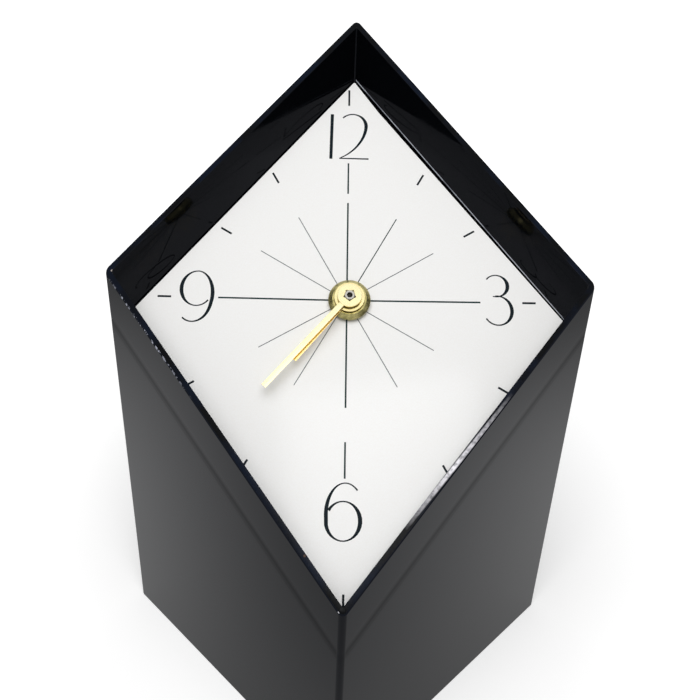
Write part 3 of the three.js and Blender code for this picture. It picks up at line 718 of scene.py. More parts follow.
class Finishes:
    """Every finish on the clock."""

    ACRYLIC = CastAcrylic("polished_black_acrylic", "040508", Slot.ACRYLIC, 0.05, ior=1.22)
    SEAM = CastAcrylic("acrylic_over_glued_joint", "040508", Slot.ACRYLIC, 0.05, ior=1.16)
    SEAM_SIDE = CastAcrylic("acrylic_beside_glued_joint", "040508", Slot.ACRYLIC, 0.05, ior=1.19)
    RECESS = CastAcrylic("recess_black_acrylic", "040507", Slot.ACRYLIC, 0.03, ior=1.25, wave_depth=0.002)
    RIM = SawnRim(
        "sawn_acrylic_rim",
        "030c1c",
        Slot.ACRYLIC,
        0.12,
        ior=1.18,
        marks=(Mark((-68.3, 0.2, 130.6), 0.4, "a89e98"), Mark((-10.0, -59.2, 82.2), 0.45, "4a3a30")),
    )
    # Its pale dashes and the near-white mark at the front corner are painted highlights.
    ARRIS = GlintingArris(
        "acrylic_arris_painted_glints",
        "030814",
        Slot.ACRYLIC,
        0.15,
        ior=1.2,
        marks=(Mark((-0.9, -69.3, 73.9), 0.4, "dcdce2"),),
    )
    CARD = LaminatedCard("laminated_white_card", "efefee", Slot.CARD, 0.6)
    INK = PrintInk("screen_printed_ink", "060c10", Slot.CARD, 0.35, ior=1.16, pale="1c262c")
    FINE_INK = PrintInk("fine_grey_ink", "4a5052", Slot.CARD, 0.35, ior=1.16, pale="6a7072")
    MID_INK = PrintInk("mid_green_ink", "122424", Slot.CARD, 0.35, ior=1.16, pale="2a3e3e")
    NUT = TurnedBrass("turned_brass_nut", "cdc285", Slot.BRASS, 0.22, 1.0, tarnish="8b8552")
    # A painted glint: pale grey where the edge between card and wall catches light.
    GLINT = GlintBead("pale_bead_painted_glint", "a4a9b1", Slot.CARD, 0.25)
    SCREW = TurnedBrass("threaded_brass", "a8914e", Slot.BRASS, 0.25, 1.0)
    # The minute hand's paler bar is a painted highlight, where a lamp's reflection falls on it.
    MINUTE = StampedBrass("lacquered_brass_painted_highlight", "fbefb8", Slot.BRASS, 0.16, 1.0)
    # The hour hand's more golden bar is painted shade, where the minute hand lies over it.
    HOUR = StampedBrass("brass_sheet_painted_shade", "f9ecb4", Slot.BRASS, 0.16, 1.0, bar_painted_light="ffe6a4")
    HOUSING = SparkedPlastic("moulded_abs", "2c2d30", Slot.PLASTIC, 0.5)
    ACETAL = SparkedPlastic("moulded_acetal", "e2dfd4", Slot.PLASTIC, 0.42, grain=0.8)
    BOARD = PressedFibre("dyed_hardboard", "1f1d1e", Slot.ACRYLIC, 0.75)
    RUBBER = SparkedPlastic("moulded_rubber", "161616", Slot.PLASTIC, 0.85, grain=0.5)
    STEEL = PlatedSteel("nickel_plated_steel", "b7b5ad", Slot.BRASS, 0.3, 1.0)
    WIRE = WoundWire("enamelled_copper_wire", "b4562b", Slot.BRASS, 0.3, 1.0)
    SOLDER_MASK = SparkedPlastic("green_solder_mask", "1d5a38", Slot.PLASTIC, 0.35, grain=2.5)
    RESIN = SparkedPlastic("black_epoxy_drop", "0c0c0d", Slot.PLASTIC, 0.25, grain=3.0)
    CELL = CellSleeve("cell_shrink_sleeve", "24406e", Slot.CELL, 0.3, 0.3)


def new_piece(
    bm: BMesh,
    name: str,
    finishes: Sequence[Finish],
    axes: Matrix,
    body: Body = Body.CASE,
    replaces: Sequence[str] = (),
    flat_first: bool = True,
) -> Object:
    """Turn a finished bmesh into a piece of the clock.

    Args:
        bm: the shape in millimetres; it is freed.
        name: the piece's name.
        finishes: its finishes, in the order of its material indices.
        axes: from the shape's axes to metres in the frame.
        body: the body that it rides on.
        replaces: CAD nodes that it stands for.
        flat_first: let large flat faces keep their own normals.

    Returns:
        The piece's object, at the origin.
    """
    bmesh.ops.transform(bm, matrix=axes, verts=bm.verts)
    mesh = bpy.data.meshes.new(name)
    bm.to_mesh(mesh)
    bm.free()
    mesh.polygons.foreach_set("use_smooth", [True] * len(mesh.polygons))
    mesh.set_sharp_from_angle(angle=SMOOTH_BELOW)
    for finish in finishes:
        mesh.materials.append(finish.material())
    made = bpy.data.objects.new(name, mesh)
    bpy.context.scene.collection.objects.link(made)
    if flat_first:
        weighted = made.modifiers.new("flat faces", "WEIGHTED_NORMAL")
        weighted.keep_sharp = True
        weighted.weight = FLAT_FACE_WEIGHT
    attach(made, body.value)
    if replaces:
        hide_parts(*replaces)
    LOG.info("%s: %d faces on %s", name, len(mesh.polygons), body.value)
    return made


def dress(nodes: Iterable[str], finish: Finish) -> None:
    """Give CAD nodes a finish through their material slots.

    Args:
        nodes: their names.
        finish: the finish.
    """
    for name in nodes:
        node = frame["nodes"][name]
        if not node.material_slots:
            node.data.materials.append(finish.material())
        for slot in node.material_slots:
            slot.material = finish.material()
        LOG.info("%s: %s", name, finish.name)


def spin_profile(profile: Sequence[Point], steps: int = ROUND_STEPS) -> BMesh:
    """Turn a closed profile of (radius, height) points round the Z axis.

    Args:
        profile: the points in order.
        steps: faces round the axis.

    Returns:
        The bmesh, its normals pointing out.
    """
    bm = bmesh.new()
    verts = [bm.verts.new((radius, 0, height)) for radius, height in profile]
    edges = [bm.edges.new(pair) for pair in zip(verts, verts[1:] + verts[:1])]
    bmesh.ops.spin(
        bm, geom=verts + edges, cent=(0, 0, 0), axis=(0, 0, 1), angle=2 * math.pi, steps=steps, use_merge=True
    )
    bmesh.ops.remove_doubles(bm, verts=bm.verts, dist=1e-5)
    bmesh.ops.recalc_face_normals(bm, faces=bm.faces)
    return bm


def round_off(bm: BMesh, edges: Iterable[BMEdge], radius: float, segments: int = 2) -> list[BMFace]:
    """Round edges that are still there.

    Args:
        bm: the shape.
        edges: those to round.
        radius: of the rounding.
        segments: of the rounding.

    Returns:
        The new faces.
    """
    return bmesh.ops.bevel(
        bm,
        geom=[edge for edge in edges if edge.is_valid],
        offset=radius,
        segments=segments,
        profile=0.5,
        affect="EDGES",
        material=-1,
    )["faces"]


@dataclass
class Case:
    """The square acrylic tube, cut on a slope, with the ledge that carries the dial."""

    side: float = 100.0
    wall: float = 1.6
    corner_radius: float = 1.8
    inner_corner_radius: float = 0.5
    corner_segments: int = 8
    rim_height: float = 130.5
    ledge_top: float = 3.0  # below the card's face, square to it
    ledge_thickness: float = 2.0
    ledge_width: float = 5.0
    dial_depth: float = 13.4
    arris_radius: float = 0.28
    inner_arris_share: float = 0.7  # the other edges are broken less than the outer arris
    sink_depths: tuple[float, ...] = (11.4, 13.0, 14.0, 14.8, 15.6, 17.0, 19.0)  # below the rim
    sink_shares: tuple[float, ...] = (0.0, 0.2, 0.75, 1.0, 0.75, 0.2, 0.0)
    sink: float = 0.025  # how far the wall is drawn in where the dial's frame is glued
    seam_sides: tuple[int, ...] = (2, 5)  # rings, counted from the foot, that start the seam's softer sides
    seam_middle: tuple[int, ...] = (3, 4)
    flat_within: float = 0.02  # difference of a flat wall's normal in X and Y
    bead_place: float = 48.34  # from the tube's axis, a little sunk in the wall
    bead_width: float = 0.16
    bead_height: float = 0.22
    bead_rise: Point = (0.22, 0.6)  # above the card at the right and at the back corner
    bead_short: float = 1.2  # shorter than the wall
    bead_segments: int = 40

    def tilt(self) -> float:
        """Slope of the rim's plane, which is the dial's."""
        return math.acos(DIAL.normal.z)

    def ring(self, bm: BMesh, side: float, radius: float, drop: float | None) -> list[BMEdge]:
        """A rounded square round the tube, its corners on the X and Y axes.

        Args:
            bm: the bmesh that gets it.
            side: across the flats.
            radius: of the corners.
            drop: height above the foot of its plane on the tube's axis, or None for a level ring at the foot.

        Returns:
            Its edges.
        """
        count = 4 * self.corner_segments
        half_step = math.pi / count
        made = bmesh.ops.create_circle(
            bm,
            cap_ends=False,
            segments=count,
            radius=radius / math.cos(half_step),
            matrix=Matrix.Rotation(half_step, 4, "Z"),
        )["verts"]
        shift = side / 2 - radius
        for vert in made:
            vert.co.x += math.copysign(shift, vert.co.x)
            vert.co.y += math.copysign(shift, vert.co.y)
        bmesh.ops.rotate(bm, verts=made, cent=(0, 0, 0), matrix=Matrix.Rotation(math.pi / 4, 3, "Z"))
        for vert in made:
            vert.co.z = 0.0 if drop is None else drop + vert.co.y * math.tan(self.tilt())
        chosen = set(made)
        return [edge for edge in bm.edges if edge.verts[0] in chosen and edge.verts[1] in chosen]

    def outer_rows(self) -> list[tuple[float, float, float | None]]:
        """Side, corner radius and height of each ring outside, from the foot up to the rim.

        Returns:
            The rows for ring.
        """
        rows = [(self.side, self.corner_radius, None)]
        for depth, share in reversed(list(zip(self.sink_depths, self.sink_shares))):
            drawn = 2 * self.sink * share
            rows.append((self.side - drawn, self.corner_radius, self.rim_height - depth))
        rows.append((self.side, self.corner_radius, self.rim_height))
        return rows

    def inner_rows(self) -> list[tuple[float, float, float | None]]:
        """The same inside, from the rim over the ledge down to the foot.

        Returns:
            The rows for ring.
        """
        slope = math.cos(self.tilt())
        inner = self.side - 2 * self.wall
        opening = inner - 2 * self.ledge_width
        ledge_high = self.rim_height - self.dial_depth / slope - self.ledge_top / slope
        ledge_low = ledge_high - self.ledge_thickness / slope
        places = (
            (inner, self.rim_height),
            (inner, ledge_high),
            (opening, ledge_high),
            (opening, ledge_low),
            (inner, ledge_low),
            (inner, None),
        )
        return [(side, self.inner_corner_radius, height) for side, height in places]

    def clad(self, bm: BMesh, rings: Sequence[list[BMEdge]], rim: int) -> None:
        """Bridge each ring to the next and mark the faces' surfaces.

        Args:
            bm: the bmesh with the rings.
            rings: their edges, once round the wall's section.
            rim: index of the rim's outer ring.
        """
        surfaces = {rim: Surface.RIM, rim + 1: Surface.RECESS}
        seams = {
            **dict.fromkeys(self.seam_middle, Surface.SEAM),
            **dict.fromkeys(self.seam_sides, Surface.SEAM_SIDE),
        }
        for index, (lower, upper) in enumerate(zip(rings, rings[1:] + rings[:1])):
            for face in bmesh.ops.bridge_loops(bm, edges=lower + upper)["faces"]:
                face.normal_update()
                flat = abs(abs(face.normal.x) - abs(face.normal.y)) < self.flat_within
                surface = seams.get(index) if flat else None
                face.material_index = surface or surfaces.get(index, Surface.WALL)

    def tube(self) -> BMesh:
        """The wall's rings from the foot up the outside, over the rim and down the inside, as one skin.

        Returns:
            The bmesh.
        """
        bm = bmesh.new()
        outer = self.outer_rows()
        rim = len(outer) - 1
        rings = [self.ring(bm, *row) for row in outer + self.inner_rows()]
        self.clad(bm, rings, rim)
        bmesh.ops.recalc_face_normals(bm, faces=bm.faces)
        for face in round_off(bm, rings[rim], self.arris_radius, 3):
            face.material_index = Surface.ARRIS
        ledge_low, ledge_high = rings[-3], rings[-4]
        others = rings[rim + 1] + rings[0] + rings[-1] + ledge_low + ledge_high
        round_off(bm, others, self.arris_radius * self.inner_arris_share)
        return bm

    def glint_bead(self) -> BMesh:
        """Thin pale bead along the right back wall, which nears the dial towards the right corner; its colour
        is a painted glint.

        Returns:
            The bmesh.
        """
        bm = bmesh.new()
        length = self.side - 2 * self.wall - self.bead_short
        place = Matrix.Rotation(-math.pi / 4, 4, "Z") @ Matrix.Translation((0, self.bead_place, 0))
        bmesh.ops.create_grid(
            bm,
            x_segments=self.bead_segments,
            y_segments=1,
            size=0.5,
            matrix=place @ Matrix.Diagonal((length, self.bead_width, 1, 1)),
        )
        card = self.rim_height - self.dial_depth / math.cos(self.tilt())
        right, back = self.bead_rise
        for vert in bm.verts:
            share = vert.co.y / (vert.co.x + vert.co.y)
            vert.co.z = card + vert.co.y * math.tan(self.tilt()) + right + (back - right) * share
        foot = bmesh.ops.extrude_face_region(bm, geom=bm.faces[:], use_keep_orig=True)["geom"]
        lowered = [item for item in foot if isinstance(item, BMVert)]
        bmesh.ops.translate(bm, verts=lowered, vec=(0, 0, -self.bead_height))
        bmesh.ops.recalc_face_normals(bm, faces=bm.faces)
        return bm

    def build(self) -> None:
        """Make the pale bead of painted glint and the tube, and dress the plate on its ledge."""
        new_piece(self.glint_bead(), "glint_bead", (Finishes.GLINT,), CASE_AXES)
        finishes = {
            Surface.WALL: Finishes.ACRYLIC,
            Surface.RIM: Finishes.RIM,
            Surface.RECESS: Finishes.RECESS,
            Surface.ARRIS: Finishes.ARRIS,
            Surface.SEAM: Finishes.SEAM,
            Surface.SEAM_SIDE: Finishes.SEAM_SIDE,
        }
        in_order = [finishes[surface] for surface in Surface]
        new_piece(self.tube(), "case_tube", in_order, CASE_AXES, replaces=("case_shell",))
        dress(["dial_backing_plate"], Finishes.BOARD)


@dataclass(frozen=True)
class Arc:
    """A stretch of a stroke on an ellipse; the stroke is broad where it runs up and down."""

    centre: Point
    radii: Point
    start: float  # degrees, anticlockwise from the right
    end: float
    right: float = 1.1  # breadth at the right side
    left: float = 0.4
    thin: float = 0.36
    swell: float = 2.2  # the higher, the shorter the broad part

    def sample(self, share: float) -> tuple[Point, float]:
        """Point and breadth at a share of the way.

        Args:
            share: 0 at the start, 1 at the end.

        Returns:
            The point and the stroke's breadth there.
        """
        angle = math.radians(self.start + (self.end - self.start) * share)
        lean = math.cos(angle)
        broad = self.right if lean > 0 else self.left
        breadth = self.thin + (broad - self.thin) * abs(lean) ** self.swell
        x = self.centre[0] + self.radii[0] * lean
        y = self.centre[1] + self.radii[1] * math.sin(angle)
        return (x, y), breadth


@dataclass(frozen=True)
class Bend:
    """A stretch of a stroke on a cubic curve, its breadth going evenly from one end to the other."""

    points: tuple[Point, Point, Point, Point]
    breadths: Point

    def sample(self, share: float) -> tuple[Point, float]:
        """Point and breadth at a share of the way.

        Args:
            share: 0 at the start, 1 at the end.

        Returns:
            The point and the stroke's breadth there.
        """
        rest = 1 - share
        weights = (rest**3, 3 * rest**2 * share, 3 * rest * share**2, share**3)
        x = sum(weight * point[0] for weight, point in zip(weights, self.points))
        y = sum(weight * point[1] for weight, point in zip(weights, self.points))
        return (x, y), self.breadths[0] + (self.breadths[1] - self.breadths[0]) * share


Stroke = tuple[Arc | Bend, ...]


def straight(start: Point, end: Point, breadths: Point) -> Stroke:
    """A straight stroke from one point to another."""
    thirds = [tuple(a + (b - a) * share for a, b in zip(start, end)) for share in (0, 1 / 3, 2 / 3, 1)]
    return (Bend(tuple(thirds), breadths),)


NUMERALS: dict[str, tuple[Stroke, ...]] = {
    "twelve": (
        straight((-5.47, 65.4), (-5.68, 48.67), (1.05, 1.0)),
        (
            Arc((1.25, 60.99), (4.35, 4.5), 137, 0, right=1.15, left=0.55, thin=0.42),
            Bend(((5.6, 60.99), (5.59, 57.31), (2.77, 51.56), (-2.97, 48.9)), (1.15, 0.3)),
        ),
        straight((-2.97, 48.89), (6.43, 48.84), (0.38, 0.5)),
    ),
    "three": (
        (
            Arc((45.12, 5.67), (3.49, 3.5), 143, -90, right=1.15, left=0.5, thin=0.36),
            Bend(((45.12, 2.17), (44.62, 2.17), (44.32, 2.22), (44.02, 2.27)), (0.36, 0.3)),
        ),
        (Arc((45.27, -2.26), (4.28, 4.66), 98, -146, right=1.1, left=0.5, thin=0.4),),
    ),
    "nine": (
        (
            Arc((-45.04, 3.1), (4.72, 5.57), -42, -270, right=0.6, left=1.15, thin=0.36),
            Arc((-45.19, 1.2), (4.87, 7.5), 90, -20, right=1.15, left=1.1, thin=0.36),
            Bend(((-40.59, -1.36), (-41.21, -5.0), (-43.04, -7.29), (-45.72, -7.53)), (1.1, 0.4)),
            Bend(((-45.72, -7.53), (-47.11, -7.58), (-48.21, -6.98), (-48.85, -6.28)), (0.4, 0.5)),
        ),
    ),
    "six": (
        (
            Arc((0.22, -62.6), (5.24, 8.46), 50, 180, right=0.6, left=1.1, thin=0.34),
            Arc((-0.33, -64.4), (4.7, 5.28), 180, 508, right=1.2, left=1.1, thin=0.36),
        ),
    ),
}


@dataclass
class PrintedDial:
    """The white card and everything printed on it, in the dial's axes."""

    print_centre: Point = (-0.74, 0.33)  # the print is this far off the hands' axis
    print_turn: float = 0.7  # degrees anticlockwise that the card was laid in
    print_stretch: float = 1.035  # the hour marks stand on an oval, longer towards 12
    ink_height: float = 0.03
    crossing_lift: float = 0.002  # between strokes that cross, so that they don't share a face
    stroke_steps: int = 28
    nut_edge: float = 5.0  # where the lines start, under the nut
    cross_breadth: float = 0.5
    cross_lines: tuple[tuple[int, float, float], ...] = (
        (12, 34.92, 45.53),
        (12, nut_edge, 31.76),
        (3, nut_edge, 40.19),
        (9, nut_edge, 38.57),
        (6, nut_edge, 31.78),
        (6, 41.29, 51.16),
    )  # hour, start and end
    ray_breadth: float = 0.24
    ray_breadth_at_one: float = 0.3
    ray_end: float = 30.6
    ray_end_low: float = 29.65  # below the hub
    tick_breadth: float = 0.62
    tick_length: float = 4.05
    tick_lengths: dict[int, float] = field(default_factory=lambda: {2: 3.85, 6: 5.9, 10: 3.85, 12: 5.85})
    tick_starts: tuple[float, ...] = (
        44.2, 41.7, 52.8, 50.8, 54.5, 80.45, 53.85, 50.4, 52.65, 41.35, 44.0, 66.45
    )  # from the hour of one on
    hour_slips: dict[int, float] = field(
        default_factory=lambda: {1: 0.3, 2: 0.45, 3: 0.3, 4: 0.3, 5: 0.17, 7: -0.4, 8: -0.37, 9: -0.3}
    )  # degrees that a mark stands short of its hour

    def stroke(self, bm: BMesh, stroke: Stroke, lift: float = 0.0) -> None:
        """Draw out a stroke's end edge along its line and thicken it.

        Args:
            bm: the bmesh that gets it.
            stroke: its stretches, end to end.
            lift: extra height.
        """
        samples = []
        for stretch in stroke:
            steps = self.stroke_steps if isinstance(stretch, Arc) else self.stroke_steps // 2
            samples += [stretch.sample(step / steps) for step in range(1 if samples else 0, steps + 1)]
        turn = Matrix.Rotation(math.radians(self.print_turn), 4, "Z")
        laid = Matrix.Translation((*self.print_centre, 0)) @ turn
        centres = [laid @ Vector((x, y, 0)) for (x, y), _ in samples]
        ends: list[BMVert] = []
        faces = []
        edge = None
        for index, (centre, (_, breadth)) in enumerate(zip(centres, samples)):
            ahead = centres[min(index + 1, len(centres) - 1)] - centres[max(index - 1, 0)]
            across = Vector((-ahead.y, ahead.x, 0)).normalized() * (breadth / 2)
            if edge is None:
                ends = [bm.verts.new(centre + across), bm.verts.new(centre - across)]
                edge = bm.edges.new(ends)
                continue
            grown = bmesh.ops.extrude_edge_only(bm, edges=[edge])["geom"]
            faces += [item for item in grown if isinstance(item, BMFace)]
            edges = [item for item in grown if isinstance(item, BMEdge)]
            edge = next(item for item in edges if not set(item.verts) & set(ends))
            ends = self.place_ends(ends, edge, centre + across, centre - across)
        for face in faces:
            if face.normal.z < 0:
                face.normal_flip()
        top = bmesh.ops.extrude_face_region(bm, geom=faces, use_keep_orig=True)["geom"]
        raised = [item for item in top if isinstance(item, BMVert)]
        bmesh.ops.translate(bm, verts=raised, vec=(0, 0, self.ink_height + lift))

    @staticmethod
    def place_ends(previous: list[BMVert], edge: BMEdge, left: Vector, right: Vector) -> list[BMVert]:
        """Move a new end edge's verts to its two sides.

        Args:
            previous: the last end edge's verts, left and right.
            edge: the new end edge.
            left: place of its left vert.
            right: place of its right vert.

        Returns:
            The new edge's verts, left and right.
        """
        neighbours = {link.other_vert(previous[0]) for link in previous[0].link_edges}
        first = next(vert for vert in edge.verts if vert in neighbours)
        second = edge.other_vert(first)
        first.co, second.co = left, right
        return [first, second]

    def ray(self, hour: int, start: float, end: float, breadth: float) -> Stroke:
        """A straight stroke out from the print's centre towards an hour.

        Args:
            hour: 1 to 12.
            start: its distance from the centre.
            end: the same at its far end.
            breadth: of the stroke.

        Returns:
            The stroke.
        """
        angle = math.radians(90 - 30 * hour + self.hour_slips.get(hour, 0.0))
        x, y = math.cos(angle), math.sin(angle) * self.print_stretch
        return straight((x * start, y * start), (x * end, y * end), (breadth, breadth))

    def ink(self, name: str, strokes: Iterable[Stroke], finish: Finish) -> None:
        """Make one printed piece of several strokes.

        Args:
            name: the piece's name.
            strokes: its strokes, each end to end.
            finish: the ink.
        """
        bm = bmesh.new()
        for index, stroke in enumerate(strokes):
            self.stroke(bm, stroke, self.crossing_lift * (index % 3))
        bmesh.ops.recalc_face_normals(bm, faces=bm.faces)
        new_piece(bm, name, (finish,), DIAL.matrix(), flat_first=False)

    def build(self) -> None:
        """Dress the card and print on it."""
        dress(["dial_card"], Finishes.CARD)
        for name, strokes in NUMERALS.items():
            self.ink(f"numeral_{name}", strokes, Finishes.INK)
        ticks = []
        for hour, start in enumerate(self.tick_starts, 1):
            end = start + self.tick_lengths.get(hour, self.tick_length)
            ticks.append(self.ray(hour, start, end, self.tick_breadth))
        self.ink("hour_ticks", ticks, Finishes.INK)
        cross = [self.ray(*line, self.cross_breadth) for line in self.cross_lines]
        self.ink("dial_cross_lines", cross, Finishes.MID_INK)
        rays = [self.ray(hour, self.nut_edge, self.ray_end, self.ray_breadth) for hour in (2, 10, 11)]
        rays += [self.ray(hour, self.nut_edge, self.ray_end_low, self.ray_breadth) for hour in (4, 5, 7, 8)]
        self.ink("dial_ray_lines", rays, Finishes.FINE_INK)
        ray_at_one = self.ray(1, self.nut_edge, self.ray_end, self.ray_breadth_at_one)
        self.ink("dial_ray_at_one", [ray_at_one], Finishes.MID_INK)


@dataclass
class Fixing:
    """Nut, washers and threaded neck that clamp the movement in the dial."""

    bore: float = 4.3
    nut_radius: float = 6.3
    nut_top_radius: float = 5.1
    nut_low: float = 1.0
    nut_thickness: float = 1.9
    nut_side: float = 0.8
    nut_foot_break: float = 0.15
    nut_side_break: Point = (0.08, 0.1)  # in and down
    nut_hollow: Point = (0.45, 0.32)  # in and up from the side's top to the deepest line of the chamfer
    nut_top_break: Point = (0.12, 0.1)  # out and down
    nut_bore_break: float = 0.2
    washer_radius: float = 6.1
    washer_low: float = 0.3
    washer_thickness: float = 0.4
    washer_edge: float = 0.08
    neck_radius: float = 4.0
    neck_bore: float = 2.65
    neck_top: float = 3.2
    neck_low: float = -5.8
    neck_top_break: Point = (0.2, 0.25)  # in and down
    neck_bore_break: float = 0.1
    thread_pitch: float = 0.75
    thread_depth: float = 0.4
    thread_low: float = 0.1
    thread_foot: float = 0.02  # where its lower flank starts, above thread_low
    thread_stop: float = 0.4  # below the neck's top
    thread_root: float = 0.05  # sunk in the neck
    thread_flanks: tuple[float, ...] = (0.42, 0.55, 0.95)  # shares of the pitch: crest's ends and upper foot
    thread_steps: int = 48

    def nut(self) -> BMesh:
        """Round nut with a broad, slightly hollow chamfer and broken edges.

        Returns:
            The bmesh.
        """
        low, high = self.nut_low, self.nut_low + self.nut_thickness
        side = low + self.nut_side
        return spin_profile(
            [
                (self.bore, low),
                (self.nut_radius - self.nut_foot_break, low),
                (self.nut_radius, low + self.nut_foot_break),
                (self.nut_radius, side - self.nut_side_break[1]),
                (self.nut_radius - self.nut_side_break[0], side),
                (self.nut_radius - self.nut_hollow[0], side + self.nut_hollow[1]),
                (self.nut_top_radius + self.nut_top_break[0], high - self.nut_top_break[1]),
                (self.nut_top_radius, high),
                (self.bore + self.nut_bore_break, high),
                (self.bore, high - self.nut_bore_break),
            ]
        )

    def neck(self) -> BMesh:
        """Threaded neck: one thread profile wound up round the bore's tube.

        Returns:
            The bmesh.
        """
        core = self.neck_radius - self.thread_depth
        bm = spin_profile(
            [
                (self.neck_bore, self.neck_low),
                (core, self.neck_low),
                (core, self.neck_top - self.neck_top_break[1]),
                (core - self.neck_top_break[0], self.neck_top),
                (self.neck_bore + self.neck_bore_break, self.neck_top),
                (self.neck_bore, self.neck_top - self.neck_bore_break),
            ]
        )
        turns = int((self.neck_top - self.thread_stop) / self.thread_pitch)
        inside = core - self.thread_root
        lower, upper, top = (self.thread_low + share * self.thread_pitch for share in self.thread_flanks)
        tooth = [
            (inside, self.thread_low + self.thread_foot),
            (self.neck_radius, lower),
            (self.neck_radius, upper),
            (inside, top),
        ]
        verts = [bm.verts.new((radius, 0, height)) for radius, height in tooth]
        edges = [bm.edges.new(pair) for pair in zip(verts, verts[1:] + verts[:1])]
        start = bm.faces.new(verts)
        bmesh.ops.spin(
            bm,
            geom=verts + edges + [start],
            cent=(0, 0, 0),
            axis=(0, 0, 1),
            dvec=(0, 0, self.thread_pitch / self.thread_steps),
            angle=2 * math.pi * turns,
            steps=self.thread_steps * turns,
            use_merge=False,
        )
        bmesh.ops.recalc_face_normals(bm, faces=bm.faces)
        return bm

    def washer(self) -> BMesh:
        """Flat ring with broken edges.

        Returns:
            The bmesh.
        """
        low, high = self.washer_low, self.washer_low + self.washer_thickness
        radius, edge = self.washer_radius, self.washer_edge
        return spin_profile(
            [
                (self.bore, low),
                (radius - edge, low),
                (radius, low + edge),
                (radius, high - edge),
                (radius - edge, high),
                (self.bore, high),
            ]
        )

    def build(self) -> None:
        """Make the turned pieces and dress the rubber washer."""
        axes = DIAL.matrix()
        new_piece(self.nut(), "round_nut", (Finishes.NUT,), axes, replaces=("mounting_nut",))
        new_piece(self.washer(), "flat_washer", (Finishes.NUT,), axes, replaces=("brass_washer",))
        new_piece(self.neck(), "threaded_neck", (Finishes.SCREW,), axes, replaces=("threaded_bushing",))
        dress(["rubber_washer"], Finishes.RUBBER)


@dataclass(frozen=True)
class Hand:
    """A flat stamped hand: a round hub and a plain bar in one sheet."""

    name: str
    node: str
    body: Body
    finish: Finish
    hub_radius: float
    bore: float
    length: float
    angle: float  # degrees clockwise from 12
    low: float  # above the card
    hub_thickness: float = 0.5
    hub_steps: int = 120
    thickness: float = 0.3
    width: float = 1.65
    bar_start: float = 0.8  # share of the hub's radius, inside which the bar starts
    edge: float = 0.06
    collar_radius: float = 0.0
    collar_height: float = 0.0
    star_points: int = 0
    star_depth: float = 0.4
    star_sharpness: float = 1.5

    def hub(self) -> BMesh:
        """Round hub with broken edges, a collar under it and a star round its bore if it has them.

        Returns:
            The bmesh.
        """
        high = self.low + self.hub_thickness
        profile = [(self.bore, self.low)]
        if self.collar_radius:
            foot = self.low - self.collar_height
            profile = [(self.bore, foot), (self.collar_radius, foot), (self.collar_radius, self.low)]
        profile += [
            (self.hub_radius - self.edge, self.low),
            (self.hub_radius, self.low + self.edge),
            (self.hub_radius, high - self.edge),
            (self.hub_radius - self.edge, high),
            (self.bore + self.edge, high),
            (self.bore, high - self.edge),
        ]
        bm = spin_profile(profile, self.hub_steps)
        if self.star_points:
            self.cut_star(bm)
        return bm

    def cut_star(self, bm: BMesh) -> None:
        """Draw the bore's verts out into points, one of them towards 6.

        Args:
            bm: the hub.
        """
        reach = self.bore + 2 * self.edge
        for vert in bm.verts:
            radius = math.hypot(vert.co.x, vert.co.y)
            if radius < reach:
                angle = math.atan2(vert.co.y, vert.co.x) + math.pi / 2
                point = max(0.0, math.cos(self.star_points * angle)) ** self.star_sharpness
                scale = (radius + self.star_depth * point) / radius
                vert.co.x *= scale
                vert.co.y *= scale

    def bar(self) -> BMesh:
        """Plain bar from under the hub's rim to the square end, its edges broken.

        Returns:
            The bmesh.
        """
        start = self.hub_radius * self.bar_start
        bm = bmesh.new()
        place = Matrix.LocRotScale(
            Vector((0, (start + self.length) / 2, self.low + self.thickness / 2)),
            None,
            Vector((self.width, self.length - start, self.thickness)),
        )
        bmesh.ops.create_cube(bm, size=1.0, matrix=place)
        round_off(bm, bm.edges[:], self.edge)
        turn = Matrix.Rotation(-math.radians(self.angle), 3, "Z")
        bmesh.ops.rotate(bm, verts=bm.verts, cent=(0, 0, 0), matrix=turn)
        return bm

    def build(self) -> None:
        """Join hub and bar into one piece."""
        bm = self.hub()
        mesh = bpy.data.meshes.new("bar")
        bar = self.bar()
        bar.to_mesh(mesh)
        bar.free()
        bm.from_mesh(mesh)
        bpy.data.meshes.remove(mesh)
        new_piece(bm, self.name, (self.finish,), DIAL.matrix(), self.body, (self.node,))


@dataclass
class HandSet:
    """Both hands and the hollow arbor that carries the minute hand."""

    hour: Hand = Hand(
        "hour_bar_hand",
        "hour_hand",
        Body.HOUR,
        Finishes.HOUR,
        hub_radius=4.55,
        bore=2.6,
        length=25.2,
        angle=218.4,
        low=3.5,
    )
    minute: Hand = Hand(
        "minute_bar_hand",
        "minute_hand",
        Body.MINUTE,
        Finishes.MINUTE,
        hub_radius=3.6,
        bore=1.5,
        length=36.9,
        angle=220.1,
        low=5.0,
        collar_radius=2.4,
        collar_height=0.5,
        star_points=5,
    )

    def build(self) -> None:
        """Make the hands and dress the arbor."""
        self.hour.build()
        self.minute.build()
        dress(["cannon_pinion"], Finishes.STEEL)


